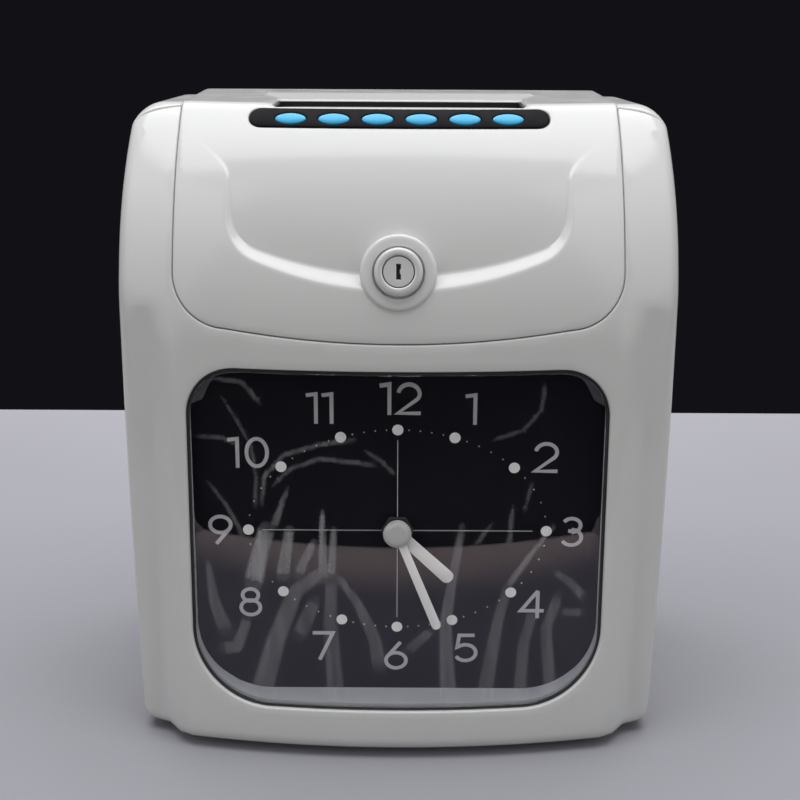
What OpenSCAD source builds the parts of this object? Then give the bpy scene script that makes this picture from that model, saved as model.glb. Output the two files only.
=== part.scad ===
// Time clock: a desk or wall clock that stamps cards pushed in at its top.
// +Z up, the front faces -Y, the origin is on the floor under the middle of the case.

/* [Case] */
// Width of the case where it is widest
case_w = 193; // [190:0.5:220]
// Depth of the case, front to back
case_d = 136; // [132:0.5:160]
// Height of the case shoulders above the floor
case_h = 228.8; // [222:0.1:260]
// Width of the case at its foot
foot_w = 190; // [182:0.5:220]
// Wall of the moulded shells
wall = 2.6; // [2:0.1:3.4]
// How far the widest line of the case is below its top
waist_drop = 53.8; // [46:0.1:62]
// Bow of the sides between foot and widest line
side_bow = 0.8; // [0:0.1:2]
// Radius of the sides above the widest line
side_r = 600; // [200:5:800]
// Radius of the top corners seen from the front
corner_r = 12; // [8:0.5:15]
// Radius of the top edge at the back
back_r = 22; // [12:0.5:22.5]
// Where the front shell ends, behind the lid's crease
split_setback = 10; // [6:0.5:14]
// Gap at the seams between the shells
seam = 0.4; // [0.2:0.05:0.8]

/* [Front] */
// Plan radius of the swelled front
bulge_r = 353; // [300:1:500]
// Width of the swelled front beside the window
bulge_rim = 3.8; // [3.6:0.1:7]
// How far the side bands stand back at the foot
band_step = 8.4; // [3:0.1:11]
// Run of the slope from the swelled panel out to the side bands
band_run = 9; // [6:0.5:11]
// How far above the lid's arc start the side bands meet the front
band_rise = 15; // [8:0.5:20]
// Lean of the front, in degrees
lean = 1.87; // [0.5:0.01:3]
// Height of the curved upper front
lid_rise = 78.8; // [72:0.1:84]
// Radius of the curved upper front
lid_r = 110; // [104:0.5:140]

/* [Window] */
// Width of the window
window_w = 146.4; // [130:0.2:148]
// Lower edge of the window above the floor
window_z = 18.8; // [16:0.1:26]
// Front bar between the window and the lid
window_bar = 9.9; // [7:0.1:14]
// Upper corner radius of the window
window_r_top = 17.5; // [10:0.5:22]
// Lower corner radius of the window
window_r_low = 28; // [10:0.5:32]
// Thickness of the clear lens
lens_t = 2; // [1.5:0.1:2.6]
// How far the lens sits below the front
lens_inset = 0.8; // [0.4:0.1:1.2]
// Width of the lens flange behind the wall
lens_flange = 2.2; // [1.8:0.1:2.4]
// Ledge of the dial surround that shows inside the window
sill = 1.5; // [0.5:0.1:3]

/* [Dial] */
// Distance of the dial behind the front at the hand axis
dial_setback = 14; // [13.6:0.1:17]
// Thickness of the dial plate
dial_t = 1.5; // [1:0.1:2]
// Height of the hand axis above the window's lower edge
dial_axis_rise = 63.2; // [56:0.1:68]
// Length of the hour hand
hour_l = 26.5; // [18:0.5:32]
// Width of the hour hand
hour_w = 4.8; // [3:0.1:6]
// Length of the minute hand
minute_l = 39.4; // [30:0.5:46]
// Width of the minute hand
minute_w = 3.3; // [2:0.1:4.5]
// Hour shown at rest
show_hour = 4; // [0:1:11]
// Minute shown at rest
show_minute = 26.35; // [0:0.05:59]
// Radius of the cap over the hands
cap_r = 5; // [4.6:0.1:6]

/* [Movement] */
// Side of the square movement case
movement_w = 56; // [54:0.5:66]
// Depth of the movement case
movement_d = 14; // [14:0.1:16]
// Wall of the movement case
movement_wall = 1.6; // [1.2:0.1:1.8]
// Module of the clock wheels
clock_m = 0.6; // [0.56:0.01:0.62]
// Radius of the minute arbor
arbor_r = 1.6; // [1.4:0.05:1.7]
// Outer radius of the hour pipe
pipe_r = 2.6; // [2.5:0.05:2.7]
// Outer radius of the threaded stem
stem_r = 4; // [3.8:0.05:4.2]

/* [Lid] */
// Width of the lid
lid_w = 153.2; // [148:0.2:158]
// Radius of the lid's lower corners
lid_corner_r = 18; // [10:0.5:22]
// Radius of the lid's lower edge
lid_edge_r = 418; // [350:1:700]
// Rise of the lid's top from crease to hinge
lid_hump = 2.4; // [1.8:0.1:3.5]
// Distance from the lid's rear edge to the back of the case
lid_rear = 23.6; // [23:0.1:32]
// Depth of the scoop in the lid's front at its lower lip
scoop_d = 4.5; // [3:0.1:5]
// Half width of the scoop
scoop_w = 56; // [48:0.5:60]
// Radius of the scoop's lower edge
scoop_r = 135; // [110:1:200]
// Radius of the scoop's lower corners
scoop_corner = 15; // [8:0.5:20]
// Length of the card slot
slot_l = 88; // [86:0.5:96]
// Width of the card slot's mouth
slot_w = 20; // [16:0.5:22]
// Distance of the card slot behind the crease
slot_setback = 4.5; // [3.5:0.1:6]
// Length of the ramp behind the card slot
ramp_l = 18; // [10:0.5:22]
// Fall of the ramp to the card slot
ramp_d = 0.6; // [0.4:0.1:1.2]

/* [Keys] */
// Length of the key strip
strip_l = 104; // [100:0.5:112]
// Height of the key strip
strip_h = 8.2; // [7.8:0.1:8.6]
// Pitch of the keys
key_pitch = 15; // [13.5:0.1:16]
// Length of a key
key_l = 10.4; // [8:0.1:11]
// Height of a key
key_h = 6.2; // [5:0.1:6.6]
// Travel of a key
key_travel = 1; // [0.6:0.1:1.2]

/* [Lock] */
// Height of the lock above the lid arc's start
lock_rise = 26; // [23:0.5:30]
// Radius of the collar round the lock
collar_r = 12.9; // [12:0.1:15]
// Radius of the lock's head
lock_head_r = 8.4; // [8:0.1:9.5]
// Radius of the lock's barrel
barrel_r = 7.2; // [6.8:0.1:7.4]
// Radius of the turning plug
plug_r = 5.3; // [4.8:0.1:5.6]
// Length of the cam from its axis
cam_l = 20; // [17:0.5:22]

/* [Stamping works] */
// Outer width of the chassis
chassis_w = 144; // [140:0.5:148]
// Sheet of the chassis
sheet = 1.6; // [1.2:0.1:2]
// Height of the chassis
chassis_h = 81.8; // [78:0.1:84]
// Drop of the chassis top below the case top
chassis_drop = 21; // [20:0.5:24]
// Gap that the card runs in
card_gap = 6; // [5.4:0.1:7]
// Thickness of a card guide
guide_t = 1.2; // [1:0.1:1.6]
// Depth of the card chute below the chassis floor
chute_drop = 26; // [10:0.5:30]
// Gap between a card guide and the roller shafts
shaft_clear = 0.8; // [0.4:0.1:1.2]
// Radius of the feed shaft
feed_shaft_r = 3; // [2.5:0.1:3.2]
// Module of the feed gears
feed_m = 0.8; // [0.76:0.01:0.82]
// Teeth of the feed gear
feed_teeth = 62; // [58:1:64]
// Teeth of the motor pinion
pinion_teeth = 16; // [15:1:18]
// Radius of the main guide rod
rod_r = 3; // [2.5:0.1:3.5]
// Radius of the lower guide rod
lower_rod_r = 2; // [1.6:0.1:2.4]
// Half travel of the print carriage
carriage_travel = 34; // [28:0.5:35]
// Radius of the belt pulleys
pulley_r = 5; // [4.4:0.1:5.4]
// Distance of a belt pulley's axis from the chassis side
pulley_inset = 10; // [9.6:0.1:14]

/* [Screws and feet] */
// Radius of the small screws
screw_r = 1.5; // [1.2:0.05:1.7]
// Radius of a small screw's head
screw_head_r = 2.8; // [2.4:0.1:3]
// Height of the feet below the case
foot_h = 3; // [2:0.1:5]
// Radius of the feet
foot_r = 8; // [6:0.5:10]
// Distance between the two wall keyholes
keyhole_span = 120; // [110:0.5:130]
// Radius of a keyhole's round part
keyhole_r = 4.5; // [4:0.1:5.5]

/* [Clearances] */
// Radial clearance of a part that turns or slides
run_fit = 0.05; // [0.03:0.01:0.08]
// Radial clearance of a part that is pressed or bolted in
seat_fit = 0.02; // [0.01:0.01:0.04]
// Free gap between neighbours that move past each other
free_gap = 0.3; // [0.25:0.05:0.5]

/* [Hidden] */
$fn = 64;

// Case planes, and how far cuts run past a face and joined solids sink into each other
front_y = -case_d / 2;
back_y = case_d / 2;
back_in = back_y - wall;
half_w = case_w / 2;
waist_z = case_h - waist_drop;
floor_in = foot_h + wall;
overrun = 60;
cut = 1;
bite = 0.5;
under_drop = 5;
under = foot_h + under_drop;
sweep = 32;
swept_fn = 360;
axis_y = front_y + bulge_r;

// Curved upper front, an arc in the side view
arc_z0 = case_h - lid_rise;
arc_y0 = front_y + (arc_z0 - foot_h) * tan(lean);
arc_cy = arc_y0 + lid_r * cos(lean);
arc_cz = arc_z0 - lid_r * sin(lean);
function arc_phi(z, d = 0) = asin((z - arc_cz) / (lid_r - d));
function arc_pt(phi, d = 0) = [arc_cy - (lid_r - d) * cos(phi), arc_cz + (lid_r - d) * sin(phi)];
function arc_run(phi0, phi1, d, n) = [for (i = [0:n]) arc_pt(phi0 + (phi1 - phi0) * i / n, d)];
function ring(cx, cy, r, a0, a1, n) =
    [for (i = [0:n]) let (a = a0 + (a1 - a0) * i / n) [cx + r * cos(a), cy + r * sin(a)]];
function mirrored(pts) = [for (i = [len(pts) - 1:-1:0]) [-pts[i][0], pts[i][1]]];
crease_y = arc_pt(arc_phi(case_h))[0];
split_y = crease_y + split_setback;
arc_over = 5;
arc_top = case_h + arc_over;
arc_steps = 12;

// Side outline's top corners and the step from the swelled front to the side bands
corner_a = 20;
corner_cz = case_h - corner_r;
corner_z = corner_cz + corner_r * sin(corner_a);
corner_cx = side_x(corner_z) - corner_r * cos(corner_a);
band_sink = 0.2;
band_over = 1.2;
bulge_w = window_w + 2 * bulge_rim;
bulge_lip = 1;

// Lid planes
lid_lift = 2.4;
lid_z0 = arc_z0 + lid_lift;
lid_rear_y = back_y - lid_rear;
function lid_top(y) = case_h + lid_hump * (y - crease_y) / (lid_rear_y - crease_y);
lid_corner_x = lid_w / 2 - lid_corner_r;
lid_edge_share = 0.97;
hinge_r = 2.2;
hinge_y = lid_rear_y + hinge_r + seam;
hinge_z = case_h - seam;
pin_r = 1.2;
knuckle_x = 58;
knuckle_w = 14;
knuckle_root = 4;
knuckle_lift = 0.3;
lug_w = 6;
lug_back = 3;
lug_drop = 6;

// Card path
slot_y0 = crease_y + slot_setback;
slot_y1 = slot_y0 + slot_w;
card_lead = 5;
card_y = slot_y0 + card_lead;
rim_drop = 0.5;
rim_run = 3;
nip = 0.4;
slot_depth = 14;
ramp_splay = 6;
ramp_rim = 8;

// Window and dial
window_top = lid_z0 - window_bar;
dial_z = window_z + dial_axis_rise;
lens_gap = 0.2;
flange_d = wall + lens_gap;
flange_t = 1.6;
surround_d = flange_d + flange_t + lens_gap;
surround_min = 0.1;
window_sag = bulge_r - sqrt(bulge_r * bulge_r - window_w * window_w / 4);
function lean_y(z) = front_y + (z - foot_h) * tan(lean);
dial_y = max(lean_y(dial_z) + dial_setback,
    lean_y(window_top - window_r_top) + window_sag + surround_d + surround_min);
dial_back = dial_y + dial_t;

// Clock train: minute pinion, motion wheel and pinion, hour wheel, rotor pinion
minute_teeth = 10;
wheel_teeth = 30;
leaf_teeth = 8;
hour_teeth = 32;
train_c = clock_m * (minute_teeth + wheel_teeth) / 2;
rotor_c = clock_m * (wheel_teeth + leaf_teeth) / 2;
rotor_angle = -20;
motion_z = dial_z - train_c;
rotor_x = rotor_c * cos(rotor_angle);
rotor_z = motion_z + rotor_c * sin(rotor_angle);
wheel_a = 90 + 180 / wheel_teeth;
rotor_a = rotor_angle + 180 + 180 / leaf_teeth - (wheel_a - rotor_angle) * wheel_teeth / leaf_teeth;
minute_angle = 6 * show_minute;
hour_angle = 30 * show_hour + show_minute / 2;
mv_front = dial_back;
mv_in = mv_front + movement_wall;
mv_back = mv_front + movement_d;
mv_end = mv_back + movement_wall;
hour_wheel_gap = 0.5;
hour_wheel_y = mv_in + hour_wheel_gap;
hour_wheel_t = 2;
upper_gap = 2.4;
upper_y = hour_wheel_y + hour_wheel_t + upper_gap;
upper_t = 3;
wheel_set = 0.2;
wheel_y = upper_y + wheel_set;
wheel_t = 2.6;
pivot_r = 1;
pivot_l = 0.8;
pivot_end = 0.2;
rotor_r = 4.4;
rotor_gap = 0.5;
nut_t = 1.4;
nut_rim = 1.8;
stem_fit = 0.1;
stem_over = 0.2;
stem_end = dial_y - nut_t - stem_over;
hour_hand_gap = 0.4;
hour_hand_y = stem_end - hour_hand_gap;
hand_t = 0.6;
hand_gap = 0.5;
hand_tip = 0.42;
arbor_tip = 1;
minute_hand_y = hour_hand_y - hand_t - hand_gap;
cap_t = 1.8;
cap_y = minute_hand_y - hand_t;
set_knob_r = 6;
set_knob_h = 4;

// Keys on the sloping face
key_count = 6;
key_drop_a = 3.1;
key_phi = arc_phi(case_h) - key_drop_a;
key_p = arc_pt(key_phi);
key_arm = axis_y - key_p[0];
function key_turn(i) = (i - (key_count + 1) / 2) * key_pitch / key_arm * 180 / PI;
strip_t = 1.4;
strip_seat = 0.05;
strip_fit = 0.2;
end_relief = 0.15;
pocket = 1.2;
key_fit = 0.3;
key_proud = 1.7;
key_rim = 1.2;
key_crown = 0.6;
key_crown_in = 0.8;
rim_t = 1;
rim_gap = 0.4;
rim_top = -wall - rim_gap;
board_room = 1.6;
board_top = rim_top - rim_t - key_travel - board_room;
board_t = 1.4;
switch_r = 1.9;
switch_h = 1.3;
board_over = 6;
board_seat = 0.05;
lid_post_r = 2;
post_turn = (strip_l - board_over) / 2 / key_arm * 180 / PI;

// Lock, square to the sloping face
lock_z = arc_z0 + lock_rise;
lock_phi = arc_phi(lock_z);
lock_y = arc_pt(lock_phi)[0];
collar_proud = 0.8;
collar_over = 1.1;
collar_back = scoop_d + wall + collar_over;
head_t = 2.6;
lock_nut_t = 3;
lock_nut_rim = 4.2;
barrel_over = 6;
barrel_l = collar_back + lock_nut_t + barrel_over;
cam_t = 1.6;
cam_w = 9;
cam_gap = 0.2;
key_slot_w = 2.2;
key_slot_h = 5.6;
key_slot_d = 12;
tang_r = 3;
cam_bolt_r = 1.2;
cam_bolt_l = 4.5;
cam_bolt_rim = 1.2;
cam_low = -barrel_l - cam_gap - cam_t;
strike_w = 18;
strike_t = 2;
strike_drop = 5;
strike_catch = 5;

// Scoop in the lid
scoop_lip_drop = 6;
scoop_low = lock_z - scoop_lip_drop;
scoop_top_drop = 14.8;
scoop_high = case_h - scoop_top_drop;
scoop_over = 12;
scoop_flare = 12;
flare_low = 8;
flare_high = 2;
scoop_corner_x = scoop_w - scoop_corner;
scoop_reach = scoop_r - scoop_corner;
scoop_corner_z = scoop_low + scoop_r - sqrt(scoop_reach * scoop_reach - scoop_corner_x * scoop_corner_x);
scoop_turn = asin(scoop_corner_x / scoop_reach) - 90;

// Chassis of the stamping works
chassis_z1 = case_h - chassis_drop;
chassis_z0 = chassis_z1 - chassis_h;
chassis_x = chassis_w / 2;
chassis_in = chassis_x - sheet;
roller_r = card_gap / 2 + guide_t + shaft_clear + feed_shaft_r - nip / 2;
chassis_lip = 5.2;
chassis_y0 = card_y - roller_r - chassis_lip;
works_d = 61.6;
head_motor_l = 11.5;
head_motor_gap = 1;
chassis_back = min(card_y + works_d, back_in - head_motor_l - head_motor_gap);
boss_r = 4;
boss_x = 34;
boss_rise = 12;
boss_drop = 10;
boss_z_low = chassis_z0 + boss_rise;
boss_z_high = chassis_z1 - boss_drop;
screw_l = 6.5;
screw_fit = 0.1;
head_fit = 0.4;
screw_head_t = 1.8;
boss_bore_d = screw_l - sheet + cut;

// Feed
feed_y = card_y + nip / 2 + roller_r;
pinch_y = card_y - nip / 2 - roller_r;
feed_drop = 42.8;
feed_z = chassis_z1 - feed_drop;
roller_x = 25;
roller_w = 14;
bush_wall = 1.6;
bush_rim = 1.4;
bush_r = feed_shaft_r + bush_wall;
bush_flange_r = bush_r + bush_rim;
bush_flange_t = 0.8;
feed_c = feed_m * (feed_teeth + pinion_teeth) / 2;
feed_angle = -35;
motor_y = feed_y + feed_c * cos(feed_angle);
motor_z = feed_z + feed_c * sin(feed_angle);
motor_r = 12;
motor_l = 32;
motor_boss_r = 5;
motor_shaft_r = 1.5;
motor_bore_d = 12;
gear_gap = 0.4;
gear_x = chassis_x + bush_flange_t + gear_gap;
gear_t = 4;
shaft_over = 1;
shaft_end = chassis_x + bush_flange_t + shaft_over;
pinch_end = chassis_x + bush_flange_t;

// Print carriage
rod_set = 34;
rod_drop = 17;
rod_span = 24.6;
rod_y = card_y + rod_set;
rod_z = chassis_z1 - rod_drop;
lower_rod_z = rod_z - rod_span;
carriage_w = 30;
carriage_d = 16;
carriage_under = 5.5;
carriage_over = 6;
carriage_z0 = lower_rod_z - carriage_under;
carriage_z1 = rod_z + carriage_over;
head_w = 24;
head_set = 14;
head_y0 = card_y + head_set;
nose_w = 12;
nose_gap = 1;
nose_y = card_y + card_gap / 2 + guide_t + nose_gap;
print_z = rod_z;
head_h = 18;
nose_h = 10;
belt_t = 1.2;
belt_w = 4;
belt_set = 1;
belt_rise = 13.8;
belt_y = rod_y + carriage_d / 2 + belt_set;
belt_z = lower_rod_z + belt_rise;
belt_gap = 0.3;
pulley_x = chassis_x - pulley_inset;
pulley_rim = 2.2;
pulley_rim_t = 0.8;
idler_pin_r = 2;
head_motor_r = 15;
clamp_w = 12;
clamp_t = 4;
fin_count = 4;
fin_slot = 1.2;
fin_cut = 3;

// Ribbon
ribbon_z = print_z;
ribbon_h = 8;
ribbon_t = 0.3;
ribbon_gap = 0.3;
ribbon_y = card_y + card_gap / 2 + guide_t + ribbon_gap;
arm_x = 53;
arm_w = 6;
cartridge_set = 16.6;
cartridge_y0 = card_y + cartridge_set;
cartridge_d = 38;
cartridge_h = 10;
knob_x = -45;
knob_set = 24;
knob_y = cartridge_y0 + knob_set;
ribbon_knob_r = 7;
ribbon_knob_t = 3;
ribbon_stem_r = 2;
ribbon_stem_l = 5.8;

// Card guides
guide_y0 = card_y - card_gap / 2;
guide_y1 = card_y + card_gap / 2;
chute_margin = 7;
chute_play = 0.8;
guide_play = 0.2;
guide_top_drop = 10;
guide_fold = 1.2;
chute_x = slot_l / 2 + chute_margin;
chute_side = slot_l / 2 + chute_play;
guide_x = chassis_in - guide_play;
guide_top = case_h - guide_top_drop;
guide_floor = chassis_z0 - chute_drop;
guide_shoulder = chassis_z1 - guide_fold;
guide_foot = 0.2;
chute_floor = 2;
chute_hole = 1;
print_room = 2;
platen_h = 12;
platen_d = 5;

// Main board on the back wall
pcb_w = 124;
pcb_h = 88;
pcb_rise = 16;
pcb_z = floor_in + pcb_rise;
pcb_t = 1.6;
standoff_l = 8;
pcb_back = back_in - standoff_l;
pcb_front = pcb_back - pcb_t;
pcb_hole_inset = 6;
pcb_hole_x = pcb_w / 2 - pcb_hole_inset;

// Case posts, keyholes, vents and inlet
post_r = 4.6;
post_floor = 4;
post_rise = 6;
post_drop = 30;
post_low_z = floor_in + post_r + post_rise;
post_high_z = case_h - post_drop;
case_screw_l = 11;
keyhole_rise = 16;
keyhole_z = chassis_z0 + keyhole_rise;
keyhole_slot = 9;
vent_count = 4;
vent_pitch = 7;
vent_w = 3;
vent_l = 44;
vent_drop = 8;
vent_z = post_high_z - vent_drop;
jack_inset = 21.7;
jack_rise = 26;
jack_z = floor_in + jack_rise;
jack_x = jack_inset - side_x(jack_z);
jack_r = 5.5;
jack_w = 14;
jack_h = 13;
jack_l = 12;
jack_bore_r = 3.2;
jack_bore_d = 8;
jack_pin_r = 1;
jack_fit = 0.2;
foot_x = 72;
foot_front_set = 34;
foot_rear_set = 20;
foot_front_y = front_y + foot_front_set;
foot_rear_y = back_y - foot_rear_set;
foot_sink = 1;
foot_fit = 0.2;

// Plain shapes placed by their limits
module box(x0, x1, y0, y1, z0, z1) {
    translate([x0, y0, z0]) cube([x1 - x0, y1 - y0, z1 - z0]);
}
module bar_x(r, x0, x1, y, z) {
    translate([x0, y, z]) rotate([0, 90, 0]) cylinder(r = r, h = x1 - x0);
}
module bar_y(r, y0, y1, x, z) {
    translate([x, y0, z]) rotate([-90, 0, 0]) cylinder(r = r, h = y1 - y0);
}
module bar_z(r, z0, z1, x, y) {
    translate([x, y, z0]) cylinder(r = r, h = z1 - z0);
}
// A front view outline pushed through from y0 to y1
module front_prism(y0, y1) {
    translate([0, y1, 0]) rotate([90, 0, 0]) linear_extrude(height = y1 - y0) children();
}
// A side view outline pushed through the whole width
module side_prism() {
    translate([-half_w - overrun / 2, 0, 0]) rotate([90, 0, 90])
        linear_extrude(height = case_w + overrun) children();
}
// A side view outline turned about the far axis that gives the front its swell
module swept(points) {
    translate([0, axis_y, 0]) rotate([0, 0, -90 - sweep])
        rotate_extrude(angle = 2 * sweep, $fn = swept_fn) polygon([for (p = points) [axis_y - p[0], p[1]]]);
}

// Outer form of the case, or its inside when d is the wall
function side_x(z) =
    z <= waist_z
        ? let (t = (z - foot_h) / (waist_z - foot_h))
            foot_w / 2 + (half_w - foot_w / 2) * t + 4 * side_bow * t * (1 - t)
        : half_w - side_r + sqrt(side_r * side_r - (z - waist_z) * (z - waist_z));
function outline_half(d) = concat(
    [for (i = [0:6]) let (z = foot_h + d + (waist_z - foot_h - d) * i / 6) [side_x(z) - d, z]],
    [for (i = [1:5]) let (z = waist_z + (corner_z - d - waist_z) * i / 6) [side_x(z) - d, z]],
    ring(corner_cx, corner_cz, corner_r - d, corner_a, 90, 6));
function swell_profile(d) = concat(
    [[front_y - under * tan(lean) + d, foot_h - under]],
    arc_run(lean, arc_phi(arc_top, d), d, arc_steps),
    [[back_y + overrun, arc_top], [back_y + overrun, foot_h - under]]);
function band_profile(d) = concat(
    [[front_y + band_step + d, foot_h - under], [front_y + band_step + d, foot_h]],
    arc_run(arc_phi(arc_z0 + band_rise, d), arc_phi(arc_top, d), d + band_sink, arc_steps),
    [[back_y + overrun, arc_top], [back_y + overrun, foot_h - under]]);
module panel_limits(d) {
    half = bulge_w / 2 - d / 2;
    edge = front_y + half * half / (2 * bulge_r) + bulge_lip + d;
    side = [[half, front_y - overrun], [half, edge], [half + band_run, edge + band_step + band_over],
        [half + band_run, back_y + overrun]];
    translate([0, 0, -under]) linear_extrude(height = case_h + 2 * under)
        polygon(concat(side, mirrored(side)));
}
module back_limits(d) {
    side_prism() polygon(concat(
        [[front_y - overrun, -under], [back_y - d, -under]],
        ring(back_y - back_r, case_h - back_r, back_r - d, 0, 84, 6),
        [[back_y - back_r, case_h + under], [front_y - overrun, case_h + under]]));
}
module body_form(d) {
    intersection() {
        front_prism(front_y - overrun, back_y - d)
            polygon(concat(outline_half(d), mirrored(outline_half(d))));
        back_limits(d);
        union() {
            swept(band_profile(d));
            intersection() {
                swept(swell_profile(d));
                panel_limits(d);
            }
        }
    }
}

// Outlines in the front view, grown by e where e is positive
function lid_edge(x) = lid_z0 + x * x / (2 * lid_edge_r);
function lid_half(e) = concat(
    [for (i = [1:6]) let (x = lid_corner_x * lid_edge_share * i / 6) [x, lid_edge(x) - e]],
    ring(lid_corner_x, lid_edge(lid_corner_x) + lid_corner_r, lid_corner_r + e, -81, 0, 8),
    [[lid_w / 2 + e, case_h + overrun]]);
module lid_outline(e) {
    polygon(concat([[0, lid_z0 - e]], lid_half(e), mirrored(lid_half(e))));
}
function window_half(e) = concat(
    ring(window_w / 2 - window_r_low, window_z + window_r_low, window_r_low + e, -90, 0, 8),
    ring(window_w / 2 - window_r_top, window_top - window_r_top, window_r_top + e, 0, 90, 8));
module window_outline(e) {
    polygon(concat(window_half(e), mirrored(window_half(e))));
}
function scoop_half(e) = concat(
    ring(0, scoop_low + scoop_r, scoop_r + e, -88, scoop_turn - 1, 4),
    ring(scoop_corner_x, scoop_corner_z, scoop_corner + e, scoop_turn, 0, 6),
    [[scoop_w + e, scoop_high - flare_low], [scoop_w + scoop_flare + e, scoop_high + flare_high + e]]);
module scoop_outline(e) {
    polygon(concat(scoop_half(e), mirrored(scoop_half(e))));
}
// Space in front of the scoop's straight face, set back by d
module before_scoop(d) {
    top = arc_pt(arc_phi(scoop_high));
    low = arc_pt(arc_phi(scoop_low)) + [scoop_d, 0];
    fall = (top[0] - low[0]) / (top[1] - low[1]);
    high_z = scoop_high + scoop_over;
    low_z = scoop_low - scoop_over;
    swept([[front_y - overrun, low_z], [front_y - overrun, high_z],
        [top[0] + fall * scoop_over + d, high_z], [low[0] - fall * scoop_over + d, low_z]]);
}

// Case
module post_places() {
    for (s = [-1, 1], z = [post_low_z, post_high_z])
        translate([s * (side_x(z) - wall - post_r - 1.5), 0, z]) children();
}
module strike() {
    tip_z = -barrel_l - cam_gap;
    hook_y = lock_y - cam_l * sin(lock_phi) - tip_z * cos(lock_phi) - cam_t - free_gap;
    hook_z = lock_z - (cam_l - strike_catch) * cos(lock_phi) + tip_z * sin(lock_phi);
    half = strike_w / 2;
    foot = lid_z0 - strike_drop;
    box(-half, half, front_y, hook_y, foot, foot + strike_t);
    box(-half, half, hook_y - strike_t, hook_y, foot, hook_z);
}
module front_case() {
    color([0.9, 0.91, 0.9]) {
        difference() {
            union() {
                difference() {
                    intersection() {
                        body_form(0);
                        box(-case_w, case_w, -case_d, split_y - seam / 2, -cut, case_h + cut);
                    }
                    body_form(wall);
                }
                intersection() {
                    body_form(wall / 2);
                    post_places() bar_y(post_r, front_y, split_y - seam / 2, 0, 0);
                }
            }
            front_prism(front_y - overrun, lid_rear_y + seam) lid_outline(seam);
            front_prism(front_y - overrun, dial_y) window_outline(0);
            post_places() bar_y(screw_r + seat_fit, split_y - case_screw_l, split_y + cut, 0, 0);
            for (s = [-1, 1]) bar_z(foot_r + foot_fit, -cut, foot_h + foot_sink, s * foot_x, foot_front_y);
        }
        intersection() {
            body_form(wall / 2);
            strike();
        }
    }
}
module hinge_lugs() {
    for (s = [-1, 1], t = [-1, 1]) {
        x0 = s * knuckle_x + t * (knuckle_w / 2 + free_gap + lug_w / 2) - lug_w / 2;
        bar_x(hinge_r, x0, x0 + lug_w, hinge_y, hinge_z);
        box(x0, x0 + lug_w, hinge_y - hinge_r + end_relief, hinge_y + lug_back, hinge_z - lug_drop, hinge_z);
    }
}
module keyhole(x) {
    bar_y(keyhole_r, back_in - cut, back_y + cut, x, keyhole_z);
    box(x - keyhole_r / 2, x + keyhole_r / 2, back_in - cut, back_y + cut,
        keyhole_z, keyhole_z + keyhole_slot);
}
module chassis_boss_places() {
    for (s = [-1, 1], z = [boss_z_low, boss_z_high]) translate([s * boss_x, 0, z]) children();
}
module board_hole_places() {
    for (s = [-1, 1], z = [pcb_z + pcb_hole_inset, pcb_z + pcb_h - pcb_hole_inset])
        translate([s * pcb_hole_x, 0, z]) children();
}
module rear_case() {
    color([0.88, 0.89, 0.88]) difference() {
        union() {
            difference() {
                intersection() {
                    body_form(0);
                    box(-case_w, case_w, split_y + seam / 2, case_d, -cut, case_h + cut);
                }
                body_form(wall);
                front_prism(front_y, lid_rear_y + seam) lid_outline(seam);
            }
            intersection() {
                body_form(wall / 2);
                union() {
                    post_places() bar_y(post_r, split_y + seam / 2, back_y, 0, 0);
                    chassis_boss_places() bar_y(boss_r, chassis_back, back_y, 0, 0);
                    board_hole_places() bar_y(boss_r, pcb_back, back_y, 0, 0);
                }
            }
            hinge_lugs();
        }
        for (s = [-1, 1]) {
            x = s * knuckle_x;
            half = knuckle_w / 2 + free_gap;
            box(x - half, x + half, lid_rear_y, hinge_y + hinge_r + cut,
                hinge_z - lug_drop - cut, case_h + cut);
            bar_x(pin_r + seat_fit, x - half - lug_w - cut, x + half + lug_w + cut, hinge_y, hinge_z);
            keyhole(s * keyhole_span / 2);
            bar_z(foot_r + foot_fit, -cut, foot_h + foot_sink, s * foot_x, foot_rear_y);
        }
        post_places() {
            bar_y(screw_head_r + head_fit, split_y + seam / 2 + post_floor, back_y + cut, 0, 0);
            bar_y(screw_r + screw_fit, split_y - cut, back_y, 0, 0);
        }
        chassis_boss_places() bar_y(screw_r + seat_fit, chassis_back - cut, chassis_back + boss_bore_d, 0, 0);
        board_hole_places() bar_y(screw_r + seat_fit, pcb_back - cut, pcb_back + boss_bore_d, 0, 0);
        bar_y(jack_r + jack_fit, back_in - cut, back_y + cut, jack_x, jack_z);
        for (i = [0:vent_count - 1], z = [vent_z - i * vent_pitch])
            box(-vent_l / 2, vent_l / 2, back_in - cut, back_y + cut, z - vent_w / 2, z + vent_w / 2);
    }
}
module feet() {
    color([0.12, 0.12, 0.13]) for (s = [-1, 1], y = [foot_front_y, foot_rear_y])
        bar_z(foot_r, 0, foot_h + foot_sink, s * foot_x, y);
}
module case_screws() {
    head_y = split_y + seam / 2 + post_floor;
    color([0.7, 0.7, 0.72]) post_places() {
        bar_y(screw_head_r, head_y, head_y + screw_head_t, 0, 0);
        bar_y(screw_r, split_y - case_screw_l + cut, head_y + screw_head_t / 2, 0, 0);
    }
}

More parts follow.
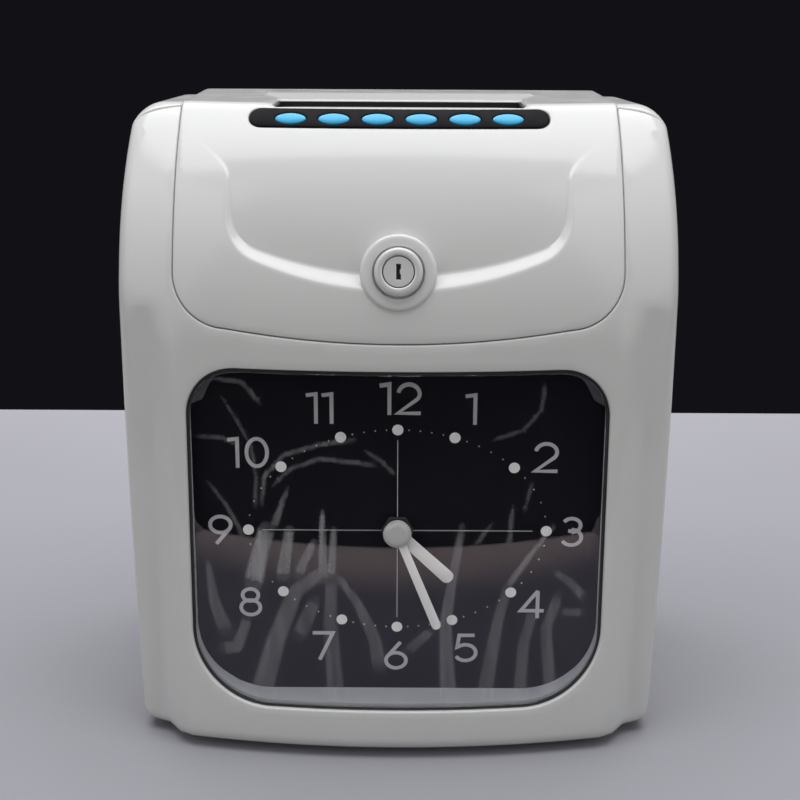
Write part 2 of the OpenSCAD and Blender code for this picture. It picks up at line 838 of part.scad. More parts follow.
// Window and dial
module lens_layer(d0, d1) {
    intersection() {
        difference() {
            swept(swell_profile(d0));
            swept(swell_profile(d1));
        }
        front_prism(front_y - overrun, dial_y) children();
    }
}
module lens_ring(e) {
    difference() {
        window_outline(e);
        window_outline(-seam - lens_t);
    }
}
module clock_lens() {
    color([0.85, 0.9, 0.95, 0.35]) {
        lens_layer(lens_inset, lens_inset + lens_t) window_outline(-seam);
        lens_layer(lens_inset + bite, flange_d + flange_t) lens_ring(-seam);
        lens_layer(flange_d, flange_d + flange_t) lens_ring(lens_flange);
    }
}
module dial_surround() {
    color([0.86, 0.87, 0.88]) intersection() {
        front_prism(front_y, dial_y) difference() {
            window_outline(lens_flange);
            window_outline(-sill);
        }
        swept(swell_profile(surround_d));
    }
}
module dial_plate() {
    color([0.05, 0.05, 0.08]) difference() {
        front_prism(dial_y, dial_back) window_outline(lens_flange);
        bar_y(stem_r + stem_fit, dial_y - cut, dial_back + cut, 0, dial_z);
    }
}

// Clock movement
function gear_points(n, m) = [
    for (i = [0:n - 1], k = [[-0.29, -1.2], [-0.12, 0.8], [0.12, 0.8], [0.29, -1.2]])
        let (a = (i + k[0]) * 360 / n, r = n * m / 2 + k[1] * m) [r * cos(a), r * sin(a)]];
// A clock wheel with its teeth turned by a, seen from the front
module clock_gear(n, y, t, x, z, a) {
    translate([x, y + t, z]) rotate([90, 0, 0]) rotate([0, 0, a])
        linear_extrude(height = t) polygon(gear_points(n, clock_m));
}
module movement_case() {
    half = movement_w / 2;
    color([0.2, 0.2, 0.22]) difference() {
        union() {
            box(-half, half, mv_front, mv_back, dial_z - half, dial_z + half);
            bar_y(stem_r, stem_end, mv_front + bite, 0, dial_z);
        }
        box(-half + movement_wall, half - movement_wall, mv_in, mv_back + cut,
            dial_z - half + movement_wall, dial_z + half - movement_wall);
        bar_y(pipe_r + run_fit, stem_end - cut, mv_in + cut, 0, dial_z);
        bar_y(pivot_r + run_fit, mv_in - pivot_l - pivot_end, mv_in + cut, 0, motion_z);
        bar_y(pivot_r + run_fit, mv_in - pivot_l - pivot_end, mv_in + cut, rotor_x, rotor_z);
    }
}
module movement_back() {
    half = movement_w / 2;
    color([0.25, 0.25, 0.27]) difference() {
        box(-half, half, mv_back, mv_end, dial_z - half, dial_z + half);
        bar_y(arbor_r + run_fit, mv_back - cut, mv_end + cut, 0, dial_z);
        bar_y(arbor_r + run_fit, mv_back - cut, mv_end + cut, 0, motion_z);
        bar_y(pivot_r + run_fit, mv_back - cut, mv_back + pivot_l + pivot_end, rotor_x, rotor_z);
    }
}
module movement_nut() {
    color([0.8, 0.7, 0.4]) difference() {
        translate([0, dial_y, dial_z]) rotate([90, 0, 0]) cylinder(r = stem_r + nut_rim, h = nut_t, $fn = 6);
        bar_y(stem_r + seat_fit, dial_y - nut_t - cut, dial_y + cut, 0, dial_z);
    }
}
module drive_coil() {
    core_r = rotor_r + 3.6;
    core_bore = rotor_r + 0.8;
    core_t = 3.4;
    arm = 3;
    coil_r = 4;
    coil_l = 18;
    y1 = mv_back;
    y0 = y1 - core_t;
    coil_x = movement_w / 2 - movement_wall - coil_r - 2;
    coil_z0 = rotor_z + core_r - cut;
    coil_z1 = coil_z0 + coil_l;
    color([0.7, 0.4, 0.2]) difference() {
        union() {
            bar_y(core_r, y0, y1, rotor_x, rotor_z);
            box(rotor_x, coil_x + arm, y0, y1, rotor_z - arm, rotor_z + arm);
            bar_z(coil_r, coil_z0, coil_z1, coil_x, y1 - coil_r);
            box(coil_x - arm / 2, coil_x + arm / 2, y0, y1, rotor_z, coil_z1 + arm);
            box(rotor_x - arm, coil_x + arm / 2, y0, y1, coil_z1, coil_z1 + arm);
            box(rotor_x - arm, rotor_x, y0, y1, rotor_z + core_bore + cut, coil_z1 + cut);
        }
        bar_y(core_bore, y0 - cut, y1 + cut, rotor_x, rotor_z);
    }
}
module minute_arbor() {
    color([0.75, 0.65, 0.35]) {
        bar_y(arbor_r, cap_y - arbor_tip, mv_end, 0, dial_z);
        clock_gear(minute_teeth, upper_y, upper_t, 0, dial_z, -90);
    }
}
// A hand with a rounded tip, pointing a degrees clockwise from upright
module hand(l, w, hub, bore, y, a) {
    tip = hand_tip * w;
    side = concat([[w / 2, 0]], ring(0, l - tip, tip, 0, 90, 5));
    translate([0, y, dial_z]) rotate([0, a, 0]) difference() {
        rotate([90, 0, 0]) linear_extrude(height = hand_t) union() {
            polygon(concat(side, mirrored(side)));
            circle(r = hub);
        }
        bar_y(bore, -hand_t - cut, cut, 0, 0);
    }
}
module minute_hand() {
    color([0.93, 0.93, 0.93])
        hand(minute_l, minute_w, 0.8 * cap_r, arbor_r + seat_fit, minute_hand_y, minute_angle);
}
module hand_cap() {
    color([0.85, 0.85, 0.86]) difference() {
        bar_y(cap_r, cap_y - cap_t, cap_y, 0, dial_z);
        bar_y(arbor_r + seat_fit, cap_y - arbor_tip - seat_fit, cap_y + cut, 0, dial_z);
    }
}
module hour_wheel() {
    color([0.8, 0.7, 0.4]) difference() {
        union() {
            clock_gear(hour_teeth, hour_wheel_y, hour_wheel_t, 0, dial_z, -90 + 180 / hour_teeth);
            bar_y(pipe_r, hour_hand_y - hand_t, hour_wheel_y + bite, 0, dial_z);
        }
        bar_y(arbor_r + run_fit, hour_hand_y - hand_t - cut, mv_back, 0, dial_z);
    }
}
module hour_hand() {
    color([0.93, 0.93, 0.93]) hand(hour_l, hour_w, 0.9 * cap_r, pipe_r + seat_fit, hour_hand_y, hour_angle);
}
module motion_wheel() {
    color([0.8, 0.7, 0.4]) {
        bar_y(pivot_r, mv_in - pivot_l, mv_in + bite, 0, motion_z);
        bar_y(arbor_r, mv_in + free_gap, mv_end + set_knob_h + bite, 0, motion_z);
        clock_gear(leaf_teeth, hour_wheel_y, hour_wheel_t, 0, motion_z, 90);
        clock_gear(wheel_teeth, wheel_y, wheel_t, 0, motion_z, wheel_a);
        bar_y(set_knob_r, mv_end + free_gap, mv_end + set_knob_h, 0, motion_z);
    }
}
module rotor() {
    color([0.45, 0.45, 0.48]) {
        bar_y(pivot_r, mv_in - pivot_l, mv_back + pivot_l, rotor_x, rotor_z);
        clock_gear(leaf_teeth, wheel_y, wheel_t, rotor_x, rotor_z, rotor_a);
        bar_y(rotor_r, wheel_y + wheel_t + rotor_gap, mv_back - rotor_gap, rotor_x, rotor_z);
    }
}

// Lid
module lid_form(d) {
    rear = lid_rear_y + 2 * d;
    intersection() {
        swept(swell_profile(d));
        side_prism() polygon([[front_y - overrun, -under], [rear, -under], [rear, lid_top(rear) - d],
            [front_y - overrun, lid_top(front_y - overrun) - d]]);
    }
}
module lid_shell() {
    difference() {
        intersection() {
            lid_form(0);
            front_prism(front_y - overrun, back_y) lid_outline(0);
        }
        lid_form(wall);
    }
}
module on_lock() {
    translate([0, lock_y, lock_z]) rotate([90 - lock_phi, 0, 0]) children();
}
module on_slope(turn) {
    translate([0, axis_y, 0]) rotate([0, 0, turn]) translate([0, -key_arm, key_p[1]])
        rotate([90 - key_phi, 0, 0]) children();
}
// A strip that follows the sloping face, from depth z0 to z1 along its normal
module slope_strip(l, h, z0, z1) {
    turn = (l - h) / 2 / key_arm * 180 / PI;
    section = [for (c = [[-h / 2, z0], [h / 2, z0], [h / 2, z1], [-h / 2, z1]])
        [key_arm - c[0] * sin(key_phi) + c[1] * cos(key_phi),
            key_p[1] + c[0] * cos(key_phi) + c[1] * sin(key_phi)]];
    translate([0, axis_y, 0]) rotate([0, 0, -90 - turn])
        rotate_extrude(angle = 2 * turn, $fn = swept_fn) polygon(section);
    for (s = [-1, 1]) on_slope(s * turn) translate([0, 0, z0]) cylinder(r = h / 2 - end_relief, h = z1 - z0);
}
function stadium(l, h, n) = concat(
    ring((l - h) / 2, 0, h / 2, -90, 90, n), ring((h - l) / 2, 0, h / 2, 90, 270, n));
module key_prism(e, z0, z1) {
    translate([0, 0, z0]) linear_extrude(height = z1 - z0) polygon(stadium(key_l + 2 * e, key_h + 2 * e, 8));
}
module scoop_cut() {
    difference() {
        intersection() {
            front_prism(front_y - overrun, split_y) scoop_outline(0);
            before_scoop(0);
        }
        on_lock() translate([0, 0, -overrun / 2]) cylinder(r = collar_r, h = overrun);
    }
}
module scoop_backing() {
    intersection() {
        lid_form(0);
        front_prism(front_y - overrun, split_y) scoop_outline(wall);
        before_scoop(wall);
    }
}
module ramp_cut() {
    low = lid_top(slot_y1) - ramp_d;
    end = slot_y1 + ramp_l;
    half = slot_l / 2;
    intersection() {
        side_prism() polygon([[slot_y1 - cut, low], [slot_y1, low], [end, lid_top(end) + end_relief],
            [end, low + overrun], [slot_y1 - cut, low + overrun]]);
        translate([0, 0, low - cut]) linear_extrude(height = overrun)
            polygon([[-half, slot_y1 - cut], [half, slot_y1 - cut],
                [half + ramp_splay, end + cut], [-half - ramp_splay, end + cut]]);
    }
}
module top_lid() {
    half = slot_l / 2;
    color([0.91, 0.92, 0.91]) difference() {
        union() {
            lid_shell();
            scoop_backing();
            on_lock() translate([0, 0, -collar_back]) cylinder(r = collar_r, h = collar_back + collar_proud);
            box(-half - ramp_rim, half + ramp_rim, slot_y1, slot_y1 + ramp_l,
                lid_top(slot_y1) - ramp_d - wall, lid_top(slot_y1) - wall / 2);
            for (s = [-1, 1]) {
                on_slope(s * post_turn) translate([0, 0, board_top + board_seat])
                    cylinder(r = lid_post_r, h = -board_top - wall / 2);
                x0 = s * knuckle_x - knuckle_w / 2;
                bar_x(hinge_r, x0, x0 + knuckle_w, hinge_y, hinge_z);
                box(x0, x0 + knuckle_w, lid_rear_y - knuckle_root, hinge_y,
                    hinge_z + knuckle_lift, hinge_z + hinge_r - end_relief);
            }
        }
        scoop_cut();
        box(-half, half, slot_y0, slot_y1, case_h - slot_depth, case_h + overrun);
        box(-half, half, crease_y - rim_run, slot_y0 + cut, case_h - rim_drop, case_h + overrun);
        ramp_cut();
        slope_strip(strip_l + 2 * strip_fit, strip_h + 2 * strip_fit, -pocket, 3 * pocket);
        for (i = [1:key_count]) on_slope(key_turn(i)) key_prism(key_fit, -wall - pocket, 0);
        on_lock() translate([0, 0, -overrun / 2]) cylinder(r = barrel_r + seat_fit, h = overrun);
        for (s = [-1, 1])
            bar_x(pin_r + run_fit, s * knuckle_x - knuckle_w, s * knuckle_x + knuckle_w, hinge_y, hinge_z);
    }
}
module hinge_pins() {
    half = knuckle_w / 2 + free_gap + lug_w;
    color([0.7, 0.7, 0.72]) for (s = [-1, 1])
        bar_x(pin_r, s * knuckle_x - half, s * knuckle_x + half, hinge_y, hinge_z);
}

// Keys
module key_strip() {
    color([0.08, 0.09, 0.1]) difference() {
        slope_strip(strip_l, strip_h, strip_seat - pocket, strip_seat + strip_t - pocket);
        for (i = [1:key_count]) on_slope(key_turn(i)) key_prism(strip_fit, -2 * pocket, 2 * pocket);
    }
}
module key_board() {
    color([0.1, 0.35, 0.2]) {
        slope_strip(strip_l + board_over, strip_h, board_top - board_t, board_top);
        for (i = [1:key_count]) on_slope(key_turn(i)) translate([0, 0, board_top - bite])
            cylinder(r = switch_r, h = switch_h + bite);
    }
}
module key(i) {
    color([0.35, 0.78, 0.95]) on_slope(key_turn(i)) {
        key_prism(0, rim_top - bite, key_proud - pocket);
        key_prism(-key_crown_in, key_proud - pocket - bite, key_proud - pocket + key_crown);
        key_prism(key_rim, rim_top - rim_t, rim_top);
    }
}

// Lock
module lock_barrel() {
    color([0.78, 0.79, 0.8]) on_lock() difference() {
        union() {
            translate([0, 0, collar_proud]) cylinder(r = lock_head_r, h = head_t);
            translate([0, 0, -barrel_l]) cylinder(r = barrel_r, h = barrel_l + collar_proud + bite);
        }
        translate([0, 0, -barrel_l - cut]) cylinder(r = plug_r + run_fit, h = barrel_l + overrun);
    }
}
module lock_nut() {
    color([0.75, 0.75, 0.77]) on_lock() translate([0, 0, -collar_back - lock_nut_t]) difference() {
        cylinder(r = barrel_r + lock_nut_rim, h = lock_nut_t, $fn = 6);
        translate([0, 0, -cut]) cylinder(r = barrel_r + seat_fit, h = lock_nut_t + 2 * cut);
    }
}
module lock_plug() {
    face = collar_proud + head_t;
    color([0.82, 0.83, 0.84]) on_lock() difference() {
        union() {
            translate([0, 0, -barrel_l]) cylinder(r = plug_r, h = barrel_l + face);
            translate([0, 0, cam_low]) cylinder(r = tang_r, h = cam_t + cam_gap + bite);
        }
        translate([-key_slot_w / 2, -key_slot_h / 2, face - key_slot_d])
            cube([key_slot_w, key_slot_h, key_slot_d + cut]);
        translate([0, 0, cam_low - cut]) cylinder(r = cam_bolt_r + seat_fit, h = cam_bolt_l + 2 * cut);
    }
}
module lock_cam() {
    tip = ring(cam_l - cam_w / 2, 0, cam_w / 2, -90, 90, 8);
    heel = ring(0, 0, tang_r + 2.5, 100, 260, 8);
    color([0.7, 0.7, 0.72]) on_lock() translate([0, 0, cam_low]) difference() {
        linear_extrude(height = cam_t) polygon(concat(tip, heel));
        translate([0, 0, -cut]) cylinder(r = tang_r + seat_fit, h = cam_t + 2 * cut);
    }
}
module cam_screw() {
    color([0.7, 0.7, 0.72]) on_lock() {
        translate([0, 0, cam_low - screw_head_t]) cylinder(r = tang_r + cam_bolt_rim, h = screw_head_t);
        translate([0, 0, cam_low - bite]) cylinder(r = cam_bolt_r, h = cam_bolt_l);
    }
}

// Chassis and card guides
module chassis() {
    color([0.72, 0.73, 0.75]) difference() {
        union() {
            box(-chassis_x, chassis_x, chassis_y0, chassis_back, chassis_z0, chassis_z0 + sheet);
            box(-chassis_x, chassis_x, chassis_back - sheet, chassis_back, chassis_z0, chassis_z1);
            box(-chassis_x, -chassis_in, chassis_y0, chassis_back, chassis_z0, chassis_z1);
            box(chassis_in, chassis_x, chassis_y0, chassis_back, chassis_z0, chassis_z1);
            bar_y(idler_pin_r, belt_y - pulley_rim, chassis_back - sheet / 2, -pulley_x, belt_z);
        }
        box(-chute_x - chute_hole, chute_x + chute_hole, guide_y0 - guide_t - chute_hole,
            guide_y1 + guide_t + chute_hole, chassis_z0 - cut, chassis_z0 + sheet + cut);
        for (y = [feed_y, pinch_y]) bar_x(bush_r + seat_fit, -chassis_w, chassis_w, y, feed_z);
        bar_x(rod_r + seat_fit, -chassis_w, chassis_w, rod_y, rod_z);
        bar_x(lower_rod_r + seat_fit, -chassis_w, chassis_w, rod_y, lower_rod_z);
        bar_x(motor_boss_r + seat_fit, 0, chassis_w, motor_y, motor_z);
        bar_y(motor_boss_r + seat_fit, chassis_back - sheet - cut, chassis_back + cut, pulley_x, belt_z);
        chassis_boss_places()
            bar_y(screw_r + screw_fit, chassis_back - sheet - cut, chassis_back + cut, 0, 0);
    }
}
module small_screw(y) {
    bar_y(screw_head_r, y - screw_head_t, y, 0, 0);
    bar_y(screw_r, y - screw_head_t / 2, y + screw_l, 0, 0);
}
module mechanism_screws() {
    color([0.7, 0.7, 0.72]) {
        chassis_boss_places() small_screw(chassis_back - sheet);
        board_hole_places() small_screw(pcb_front);
    }
}
module guide_sheet(y) {
    box(-guide_x, guide_x, y, y + guide_t, chassis_z0 + sheet + guide_foot, guide_shoulder);
    box(-chute_x, chute_x, y, y + guide_t, guide_floor, guide_top);
}
module roller_windows(y) {
    for (s = [-1, 1]) {
        x = s * roller_x;
        half = roller_w / 2 + cut;
        box(x - half, x + half, y - cut, y + guide_t + cut, feed_z - roller_r - cut, feed_z + roller_r + cut);
    }
}
module card_guide_front() {
    color([0.16, 0.16, 0.18]) difference() {
        union() {
            guide_sheet(guide_y0 - guide_t);
            box(-chute_side, chute_side, guide_y0 - guide_t - platen_d, guide_y0 - guide_t / 2,
                print_z - platen_h / 2, print_z + platen_h / 2);
        }
        roller_windows(guide_y0 - guide_t);
    }
}
module card_guide_rear() {
    print_x = carriage_travel + nose_w / 2 + print_room;
    print_h = nose_h / 2 + print_room;
    color([0.18, 0.18, 0.2]) difference() {
        union() {
            guide_sheet(guide_y1);
            box(-chute_x, -chute_side, guide_y0, guide_y1 + guide_t / 2, guide_floor, guide_top);
            box(chute_side, chute_x, guide_y0, guide_y1 + guide_t / 2, guide_floor, guide_top);
            box(-chute_x, chute_x, guide_y0, guide_y1 + guide_t / 2, guide_floor, guide_floor + chute_floor);
        }
        roller_windows(guide_y1);
        box(-print_x, print_x, guide_y1 - cut, guide_y1 + guide_t + cut,
            print_z - print_h, print_z + print_h);
    }
}

// Feed rollers and their drive
module shaft_bushes() {
    color([0.72, 0.52, 0.25]) for (s = [0, 1], y = [feed_y, pinch_y]) mirror([s, 0, 0]) difference() {
        union() {
            bar_x(bush_r, chassis_in, chassis_x + bush_flange_t / 2, y, feed_z);
            bar_x(bush_flange_r, chassis_x, chassis_x + bush_flange_t, y, feed_z);
        }
        bar_x(feed_shaft_r + run_fit, chassis_in - cut, chassis_w, y, feed_z);
    }
}
module feed_shaft() {
    color([0.75, 0.76, 0.78]) bar_x(feed_shaft_r, -shaft_end, gear_x + gear_t + cut, feed_y, feed_z);
}
module rollers(y, bore) {
    for (s = [-1, 1]) {
        x = s * roller_x - roller_w / 2;
        difference() {
            bar_x(roller_r, x, x + roller_w, y, feed_z);
            if (bore > 0) bar_x(bore, x - cut, x + roller_w + cut, y, feed_z);
        }
    }
}
module feed_rollers() {
    color([0.1, 0.1, 0.1]) rollers(feed_y, feed_shaft_r + seat_fit);
}
// A feed gear with its teeth turned by a, seen along the shafts
module drive_gear(n, y, z, a) {
    translate([gear_x, y, z]) rotate([90, 0, 90]) rotate([0, 0, a])
        linear_extrude(height = gear_t) polygon(gear_points(n, feed_m));
}
module feed_gear() {
    color([0.9, 0.88, 0.8]) difference() {
        drive_gear(feed_teeth, feed_y, feed_z, feed_angle);
        bar_x(feed_shaft_r + seat_fit, gear_x - cut, gear_x + gear_t + cut, feed_y, feed_z);
    }
}
module feed_motor() {
    color([0.6, 0.61, 0.63]) difference() {
        union() {
            bar_x(motor_r, chassis_in - motor_l, chassis_in, motor_y, motor_z);
            bar_x(motor_boss_r, chassis_in - bite, chassis_x, motor_y, motor_z);
        }
        bar_x(motor_shaft_r + run_fit, chassis_in - motor_bore_d, chassis_x + cut, motor_y, motor_z);
    }
}
module motor_pinion() {
    color([0.8, 0.7, 0.4]) {
        bar_x(motor_shaft_r, chassis_in - motor_bore_d + cut, gear_x + gear_t, motor_y, motor_z);
        drive_gear(pinion_teeth, motor_y, motor_z, feed_angle + 180 + 180 / pinion_teeth);
    }
}
module pinch_roller() {
    color([0.3, 0.3, 0.32]) {
        bar_x(feed_shaft_r, -pinch_end, pinch_end, pinch_y, feed_z);
        rollers(pinch_y, 0);
    }
}

// Print carriage and its belt
module guide_rods() {
    color([0.8, 0.81, 0.83]) {
        bar_x(rod_r, -chassis_x, chassis_x, rod_y, rod_z);
        bar_x(lower_rod_r, -chassis_x, chassis_x, rod_y, lower_rod_z);
    }
}
module carriage() {
    half = carriage_w / 2;
    clamp_z = belt_z + pulley_r + belt_gap + belt_t + free_gap;
    color([0.14, 0.14, 0.15]) difference() {
        union() {
            box(-half, half, rod_y - carriage_d / 2, rod_y + carriage_d / 2, carriage_z0, carriage_z1);
            box(-clamp_w / 2, clamp_w / 2, rod_y, belt_y + belt_w, clamp_z, clamp_z + clamp_t);
        }
        bar_x(rod_r + run_fit, -half - cut, half + cut, rod_y, rod_z);
        bar_x(lower_rod_r + run_fit, -half - cut, half + cut, rod_y, lower_rod_z);
    }
}
module print_head() {
    back = rod_y - carriage_d / 2;
    pitch = (back - head_y0) / (fin_count + 1);
    color([0.3, 0.3, 0.33]) difference() {
        union() {
            box(-head_w / 2, head_w / 2, head_y0, back, print_z - head_h / 2, print_z + head_h / 2);
            box(-nose_w / 2, nose_w / 2, nose_y, head_y0 + bite, print_z - nose_h / 2, print_z + nose_h / 2);
        }
        for (i = [1:fin_count], s = [-1, 1]) {
            y = head_y0 + i * pitch;
            x = s * head_w / 2;
            box(x - fin_cut, x + fin_cut, y - fin_slot / 2, y + fin_slot / 2,
                print_z - head_h, print_z + head_h);
        }
    }
}
module head_motor() {
    color([0.55, 0.56, 0.58]) difference() {
        union() {
            bar_y(head_motor_r, chassis_back, chassis_back + head_motor_l, pulley_x, belt_z);
            bar_y(motor_boss_r, chassis_back - sheet, chassis_back + bite, pulley_x, belt_z);
        }
        bar_y(motor_shaft_r + run_fit, chassis_back - sheet - cut,
              chassis_back + head_motor_l - 2 * cut, pulley_x, belt_z);
    }
}
module pulley(x) {
    bar_y(pulley_r, belt_y - belt_gap, belt_y + belt_w + belt_gap, x, belt_z);
    for (y = [belt_y - belt_gap - pulley_rim_t, belt_y + belt_w + belt_gap])
        bar_y(pulley_r + pulley_rim, y, y + pulley_rim_t, x, belt_z);
}
module drive_pulley() {
    color([0.75, 0.76, 0.78]) {
        pulley(pulley_x);
        bar_y(motor_shaft_r, belt_y - belt_gap - pulley_rim_t,
              chassis_back + head_motor_l - 3 * cut, pulley_x, belt_z);
    }
}
module idler_pulley() {
    color([0.75, 0.76, 0.78]) difference() {
        pulley(-pulley_x);
        bar_y(idler_pin_r + run_fit, belt_y - pulley_rim, belt_y + belt_w + pulley_rim, -pulley_x, belt_z);
    }
}
module drive_belt() {
    inner = 2 * (pulley_r + belt_gap);
    color([0.08, 0.08, 0.08]) front_prism(belt_y, belt_y + belt_w) translate([0, belt_z]) difference() {
        polygon(stadium(2 * pulley_x + inner + 2 * belt_t, inner + 2 * belt_t, 12));
        polygon(stadium(2 * pulley_x + inner, inner, 12));
    }
}

// Ribbon
module ribbon_cartridge() {
    top = chassis_z1 + cartridge_h;
    color([0.12, 0.12, 0.13]) difference() {
        union() {
            box(-chassis_x, chassis_x, cartridge_y0, cartridge_y0 + cartridge_d, chassis_z1, top);
            for (s = [0, 1]) mirror([s, 0, 0])
                box(arm_x, arm_x + arm_w, ribbon_y, cartridge_y0 + bite, ribbon_z - ribbon_h, top);
        }
        bar_z(ribbon_stem_r + run_fit, top - ribbon_stem_l - pivot_end, top + cut, knob_x, knob_y);
    }
}
module ribbon_tape() {
    color([0.15, 0.12, 0.3])
        box(-arm_x, arm_x, ribbon_y, ribbon_y + ribbon_t, ribbon_z - ribbon_h / 2, ribbon_z + ribbon_h / 2);
}
module ribbon_knob() {
    top = chassis_z1 + cartridge_h;
    teeth = 20;
    color([0.2, 0.5, 0.75]) {
        bar_z(ribbon_stem_r, top - ribbon_stem_l, top + cut, knob_x, knob_y);
        translate([knob_x, knob_y, top + free_gap]) linear_extrude(height = ribbon_knob_t)
            polygon(gear_points(teeth, 2 * ribbon_knob_r / (teeth + 2)));
    }
}

// Electronics
module main_board() {
    color([0.1, 0.4, 0.22]) difference() {
        box(-pcb_w / 2, pcb_w / 2, pcb_front, pcb_back, pcb_z, pcb_z + pcb_h);
        board_hole_places() bar_y(screw_r + screw_fit, pcb_front - cut, pcb_back + cut, 0, 0);
    }
}
// A component on the board's front: width, height and how far it stands off, by its lower left corner
module component(x, z, w, h, tall) {
    box(x, x + w, pcb_front - tall, pcb_front, z, z + h);
}
module board_components() {
    mid = pcb_z + pcb_h / 2;
    can_r = 6;
    can_tall = 14;
    can_pitch = 18;
    can_x = -2;
    can_rise = 14;
    chip_w = 26;
    chip_tall = 2.2;
    chip_x = -12;
    chip_drop = 4;
    relay_w = 22;
    relay_h = 18;
    relay_tall = 9;
    relay_x = -46;
    relay_drop = 6;
    plug_w = 5;
    plug_h = 8;
    plug_tall = 6;
    plug_pitch = 7;
    plug_x = 26;
    plug_drop = 12;
    driver_w = 28;
    driver_h = 10;
    driver_tall = 3;
    driver_x = 22;
    driver_rise = 18;
    buzzer_r = 7;
    buzzer_tall = 5;
    buzzer_x = 38;
    color([0.12, 0.12, 0.14]) {
        for (i = [-2:0])
            bar_y(can_r, pcb_front - can_tall, pcb_front, can_x + i * can_pitch, pcb_z + can_rise);
        component(chip_x, mid - chip_drop, chip_w, chip_w, chip_tall);
        component(relay_x, mid - relay_drop, relay_w, relay_h, relay_tall);
        for (i = [0:3])
            component(plug_x + plug_pitch * i, pcb_z + pcb_h - plug_drop, plug_w, plug_h, plug_tall);
        component(driver_x, pcb_z + driver_rise, driver_w, driver_h, driver_tall);
        bar_y(buzzer_r, pcb_front - buzzer_tall, pcb_front, buzzer_x, mid);
    }
}
module backup_battery() {
    cell_r = 7;
    cell_l = 50;
    cell_pitch = 13.5;
    tray_t = 3;
    tray_set = 14;
    x0 = 8;
    y0 = split_y + tray_set;
    color([0.2, 0.45, 0.3]) {
        box(x0, x0 + cell_l, y0, y0 + 2 * (cell_pitch + cell_r), floor_in, floor_in + tray_t);
        for (i = [0:2])
            bar_x(cell_r, x0 + cut, x0 + cell_l - cut,
                  y0 + cell_r + cell_pitch * i, floor_in + tray_t / 2 + cell_r);
    }
}
module power_jack() {
    color([0.06, 0.06, 0.06]) {
        difference() {
            union() {
                box(jack_x - jack_w / 2, jack_x + jack_w / 2, back_in - jack_l, back_in,
                    jack_z - jack_h / 2, jack_z + jack_h / 2);
                bar_y(jack_r, back_in - bite, back_y - bite, jack_x, jack_z);
            }
            bar_y(jack_bore_r, back_in - jack_bore_d, back_y + cut, jack_x, jack_z);
        }
        bar_y(jack_pin_r, back_in - jack_bore_d - cut, back_y - 2 * cut, jack_x, jack_z);
    }
}

front_case();
rear_case();
feet();
case_screws();
clock_lens();
dial_surround();
dial_plate();
movement_case();
movement_back();
movement_nut();
drive_coil();
minute_arbor();
minute_hand();
hand_cap();
hour_wheel();
hour_hand();
motion_wheel();
rotor();
top_lid();
key_strip();
key_board();
key(1);  // key_1
key(2);  // key_2
key(3);  // key_3
key(4);  // key_4
key(5);  // key_5
key(6);  // key_6
lock_barrel();
lock_nut();
lock_plug();
lock_cam();
cam_screw();
hinge_pins();
chassis();
mechanism_screws();
card_guide_front();
card_guide_rear();
shaft_bushes();
feed_shaft();
feed_rollers();
feed_gear();
feed_motor();
motor_pinion();
pinch_roller();
guide_rods();
carriage();
print_head();
head_motor();
drive_pulley();
idler_pulley();
drive_belt();
ribbon_cartridge();
ribbon_tape();
ribbon_knob();
main_board();
board_components();
backup_battery();
power_jack();
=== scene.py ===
"""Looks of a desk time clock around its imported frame: mouldings, dial, keys, lock and finishes."""

from __future__ import annotations

import logging
import math
from dataclasses import dataclass
from enum import Enum, auto
from functools import cache
from typing import Any, Iterable, Sequence

import bmesh
import bpy
import numpy as np
from mathutils import Matrix, Vector
from mathutils.geometry import delaunay_2d_cdt

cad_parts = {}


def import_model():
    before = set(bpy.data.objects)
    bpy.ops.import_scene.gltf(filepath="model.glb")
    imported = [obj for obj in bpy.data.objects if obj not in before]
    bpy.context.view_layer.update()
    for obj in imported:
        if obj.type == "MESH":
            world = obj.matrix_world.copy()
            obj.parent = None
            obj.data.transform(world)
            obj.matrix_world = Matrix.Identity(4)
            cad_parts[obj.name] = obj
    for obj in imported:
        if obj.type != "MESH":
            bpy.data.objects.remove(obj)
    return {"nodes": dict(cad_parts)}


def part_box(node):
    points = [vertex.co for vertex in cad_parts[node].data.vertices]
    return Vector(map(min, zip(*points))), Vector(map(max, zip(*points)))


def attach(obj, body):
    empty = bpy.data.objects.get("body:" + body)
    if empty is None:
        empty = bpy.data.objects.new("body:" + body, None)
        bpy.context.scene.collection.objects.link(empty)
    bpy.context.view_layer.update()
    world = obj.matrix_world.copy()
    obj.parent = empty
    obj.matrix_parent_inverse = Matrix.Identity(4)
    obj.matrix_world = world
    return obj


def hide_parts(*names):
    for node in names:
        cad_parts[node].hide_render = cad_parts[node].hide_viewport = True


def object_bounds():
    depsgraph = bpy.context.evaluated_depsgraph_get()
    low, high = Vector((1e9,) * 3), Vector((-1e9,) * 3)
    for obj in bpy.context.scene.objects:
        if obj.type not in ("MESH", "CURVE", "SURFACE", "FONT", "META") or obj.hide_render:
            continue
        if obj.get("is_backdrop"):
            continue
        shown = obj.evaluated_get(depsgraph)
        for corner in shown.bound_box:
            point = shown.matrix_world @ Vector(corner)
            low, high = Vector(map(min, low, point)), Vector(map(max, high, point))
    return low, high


LOG = logging.getLogger("time_clock")
MM = 0.001
TINY = 1e-12
SHARP = 38.0
ROLL_STEPS = 3
SOFT_END = 0.4
FREE_SHARE = 0.45

Points = np.ndarray
Face = tuple[int, ...]
Colour = tuple[float, float, float]
Pair = tuple[float, float]
Socket = bpy.types.NodeSocket
Object = bpy.types.Object
Material = bpy.types.Material


# Plain geometry


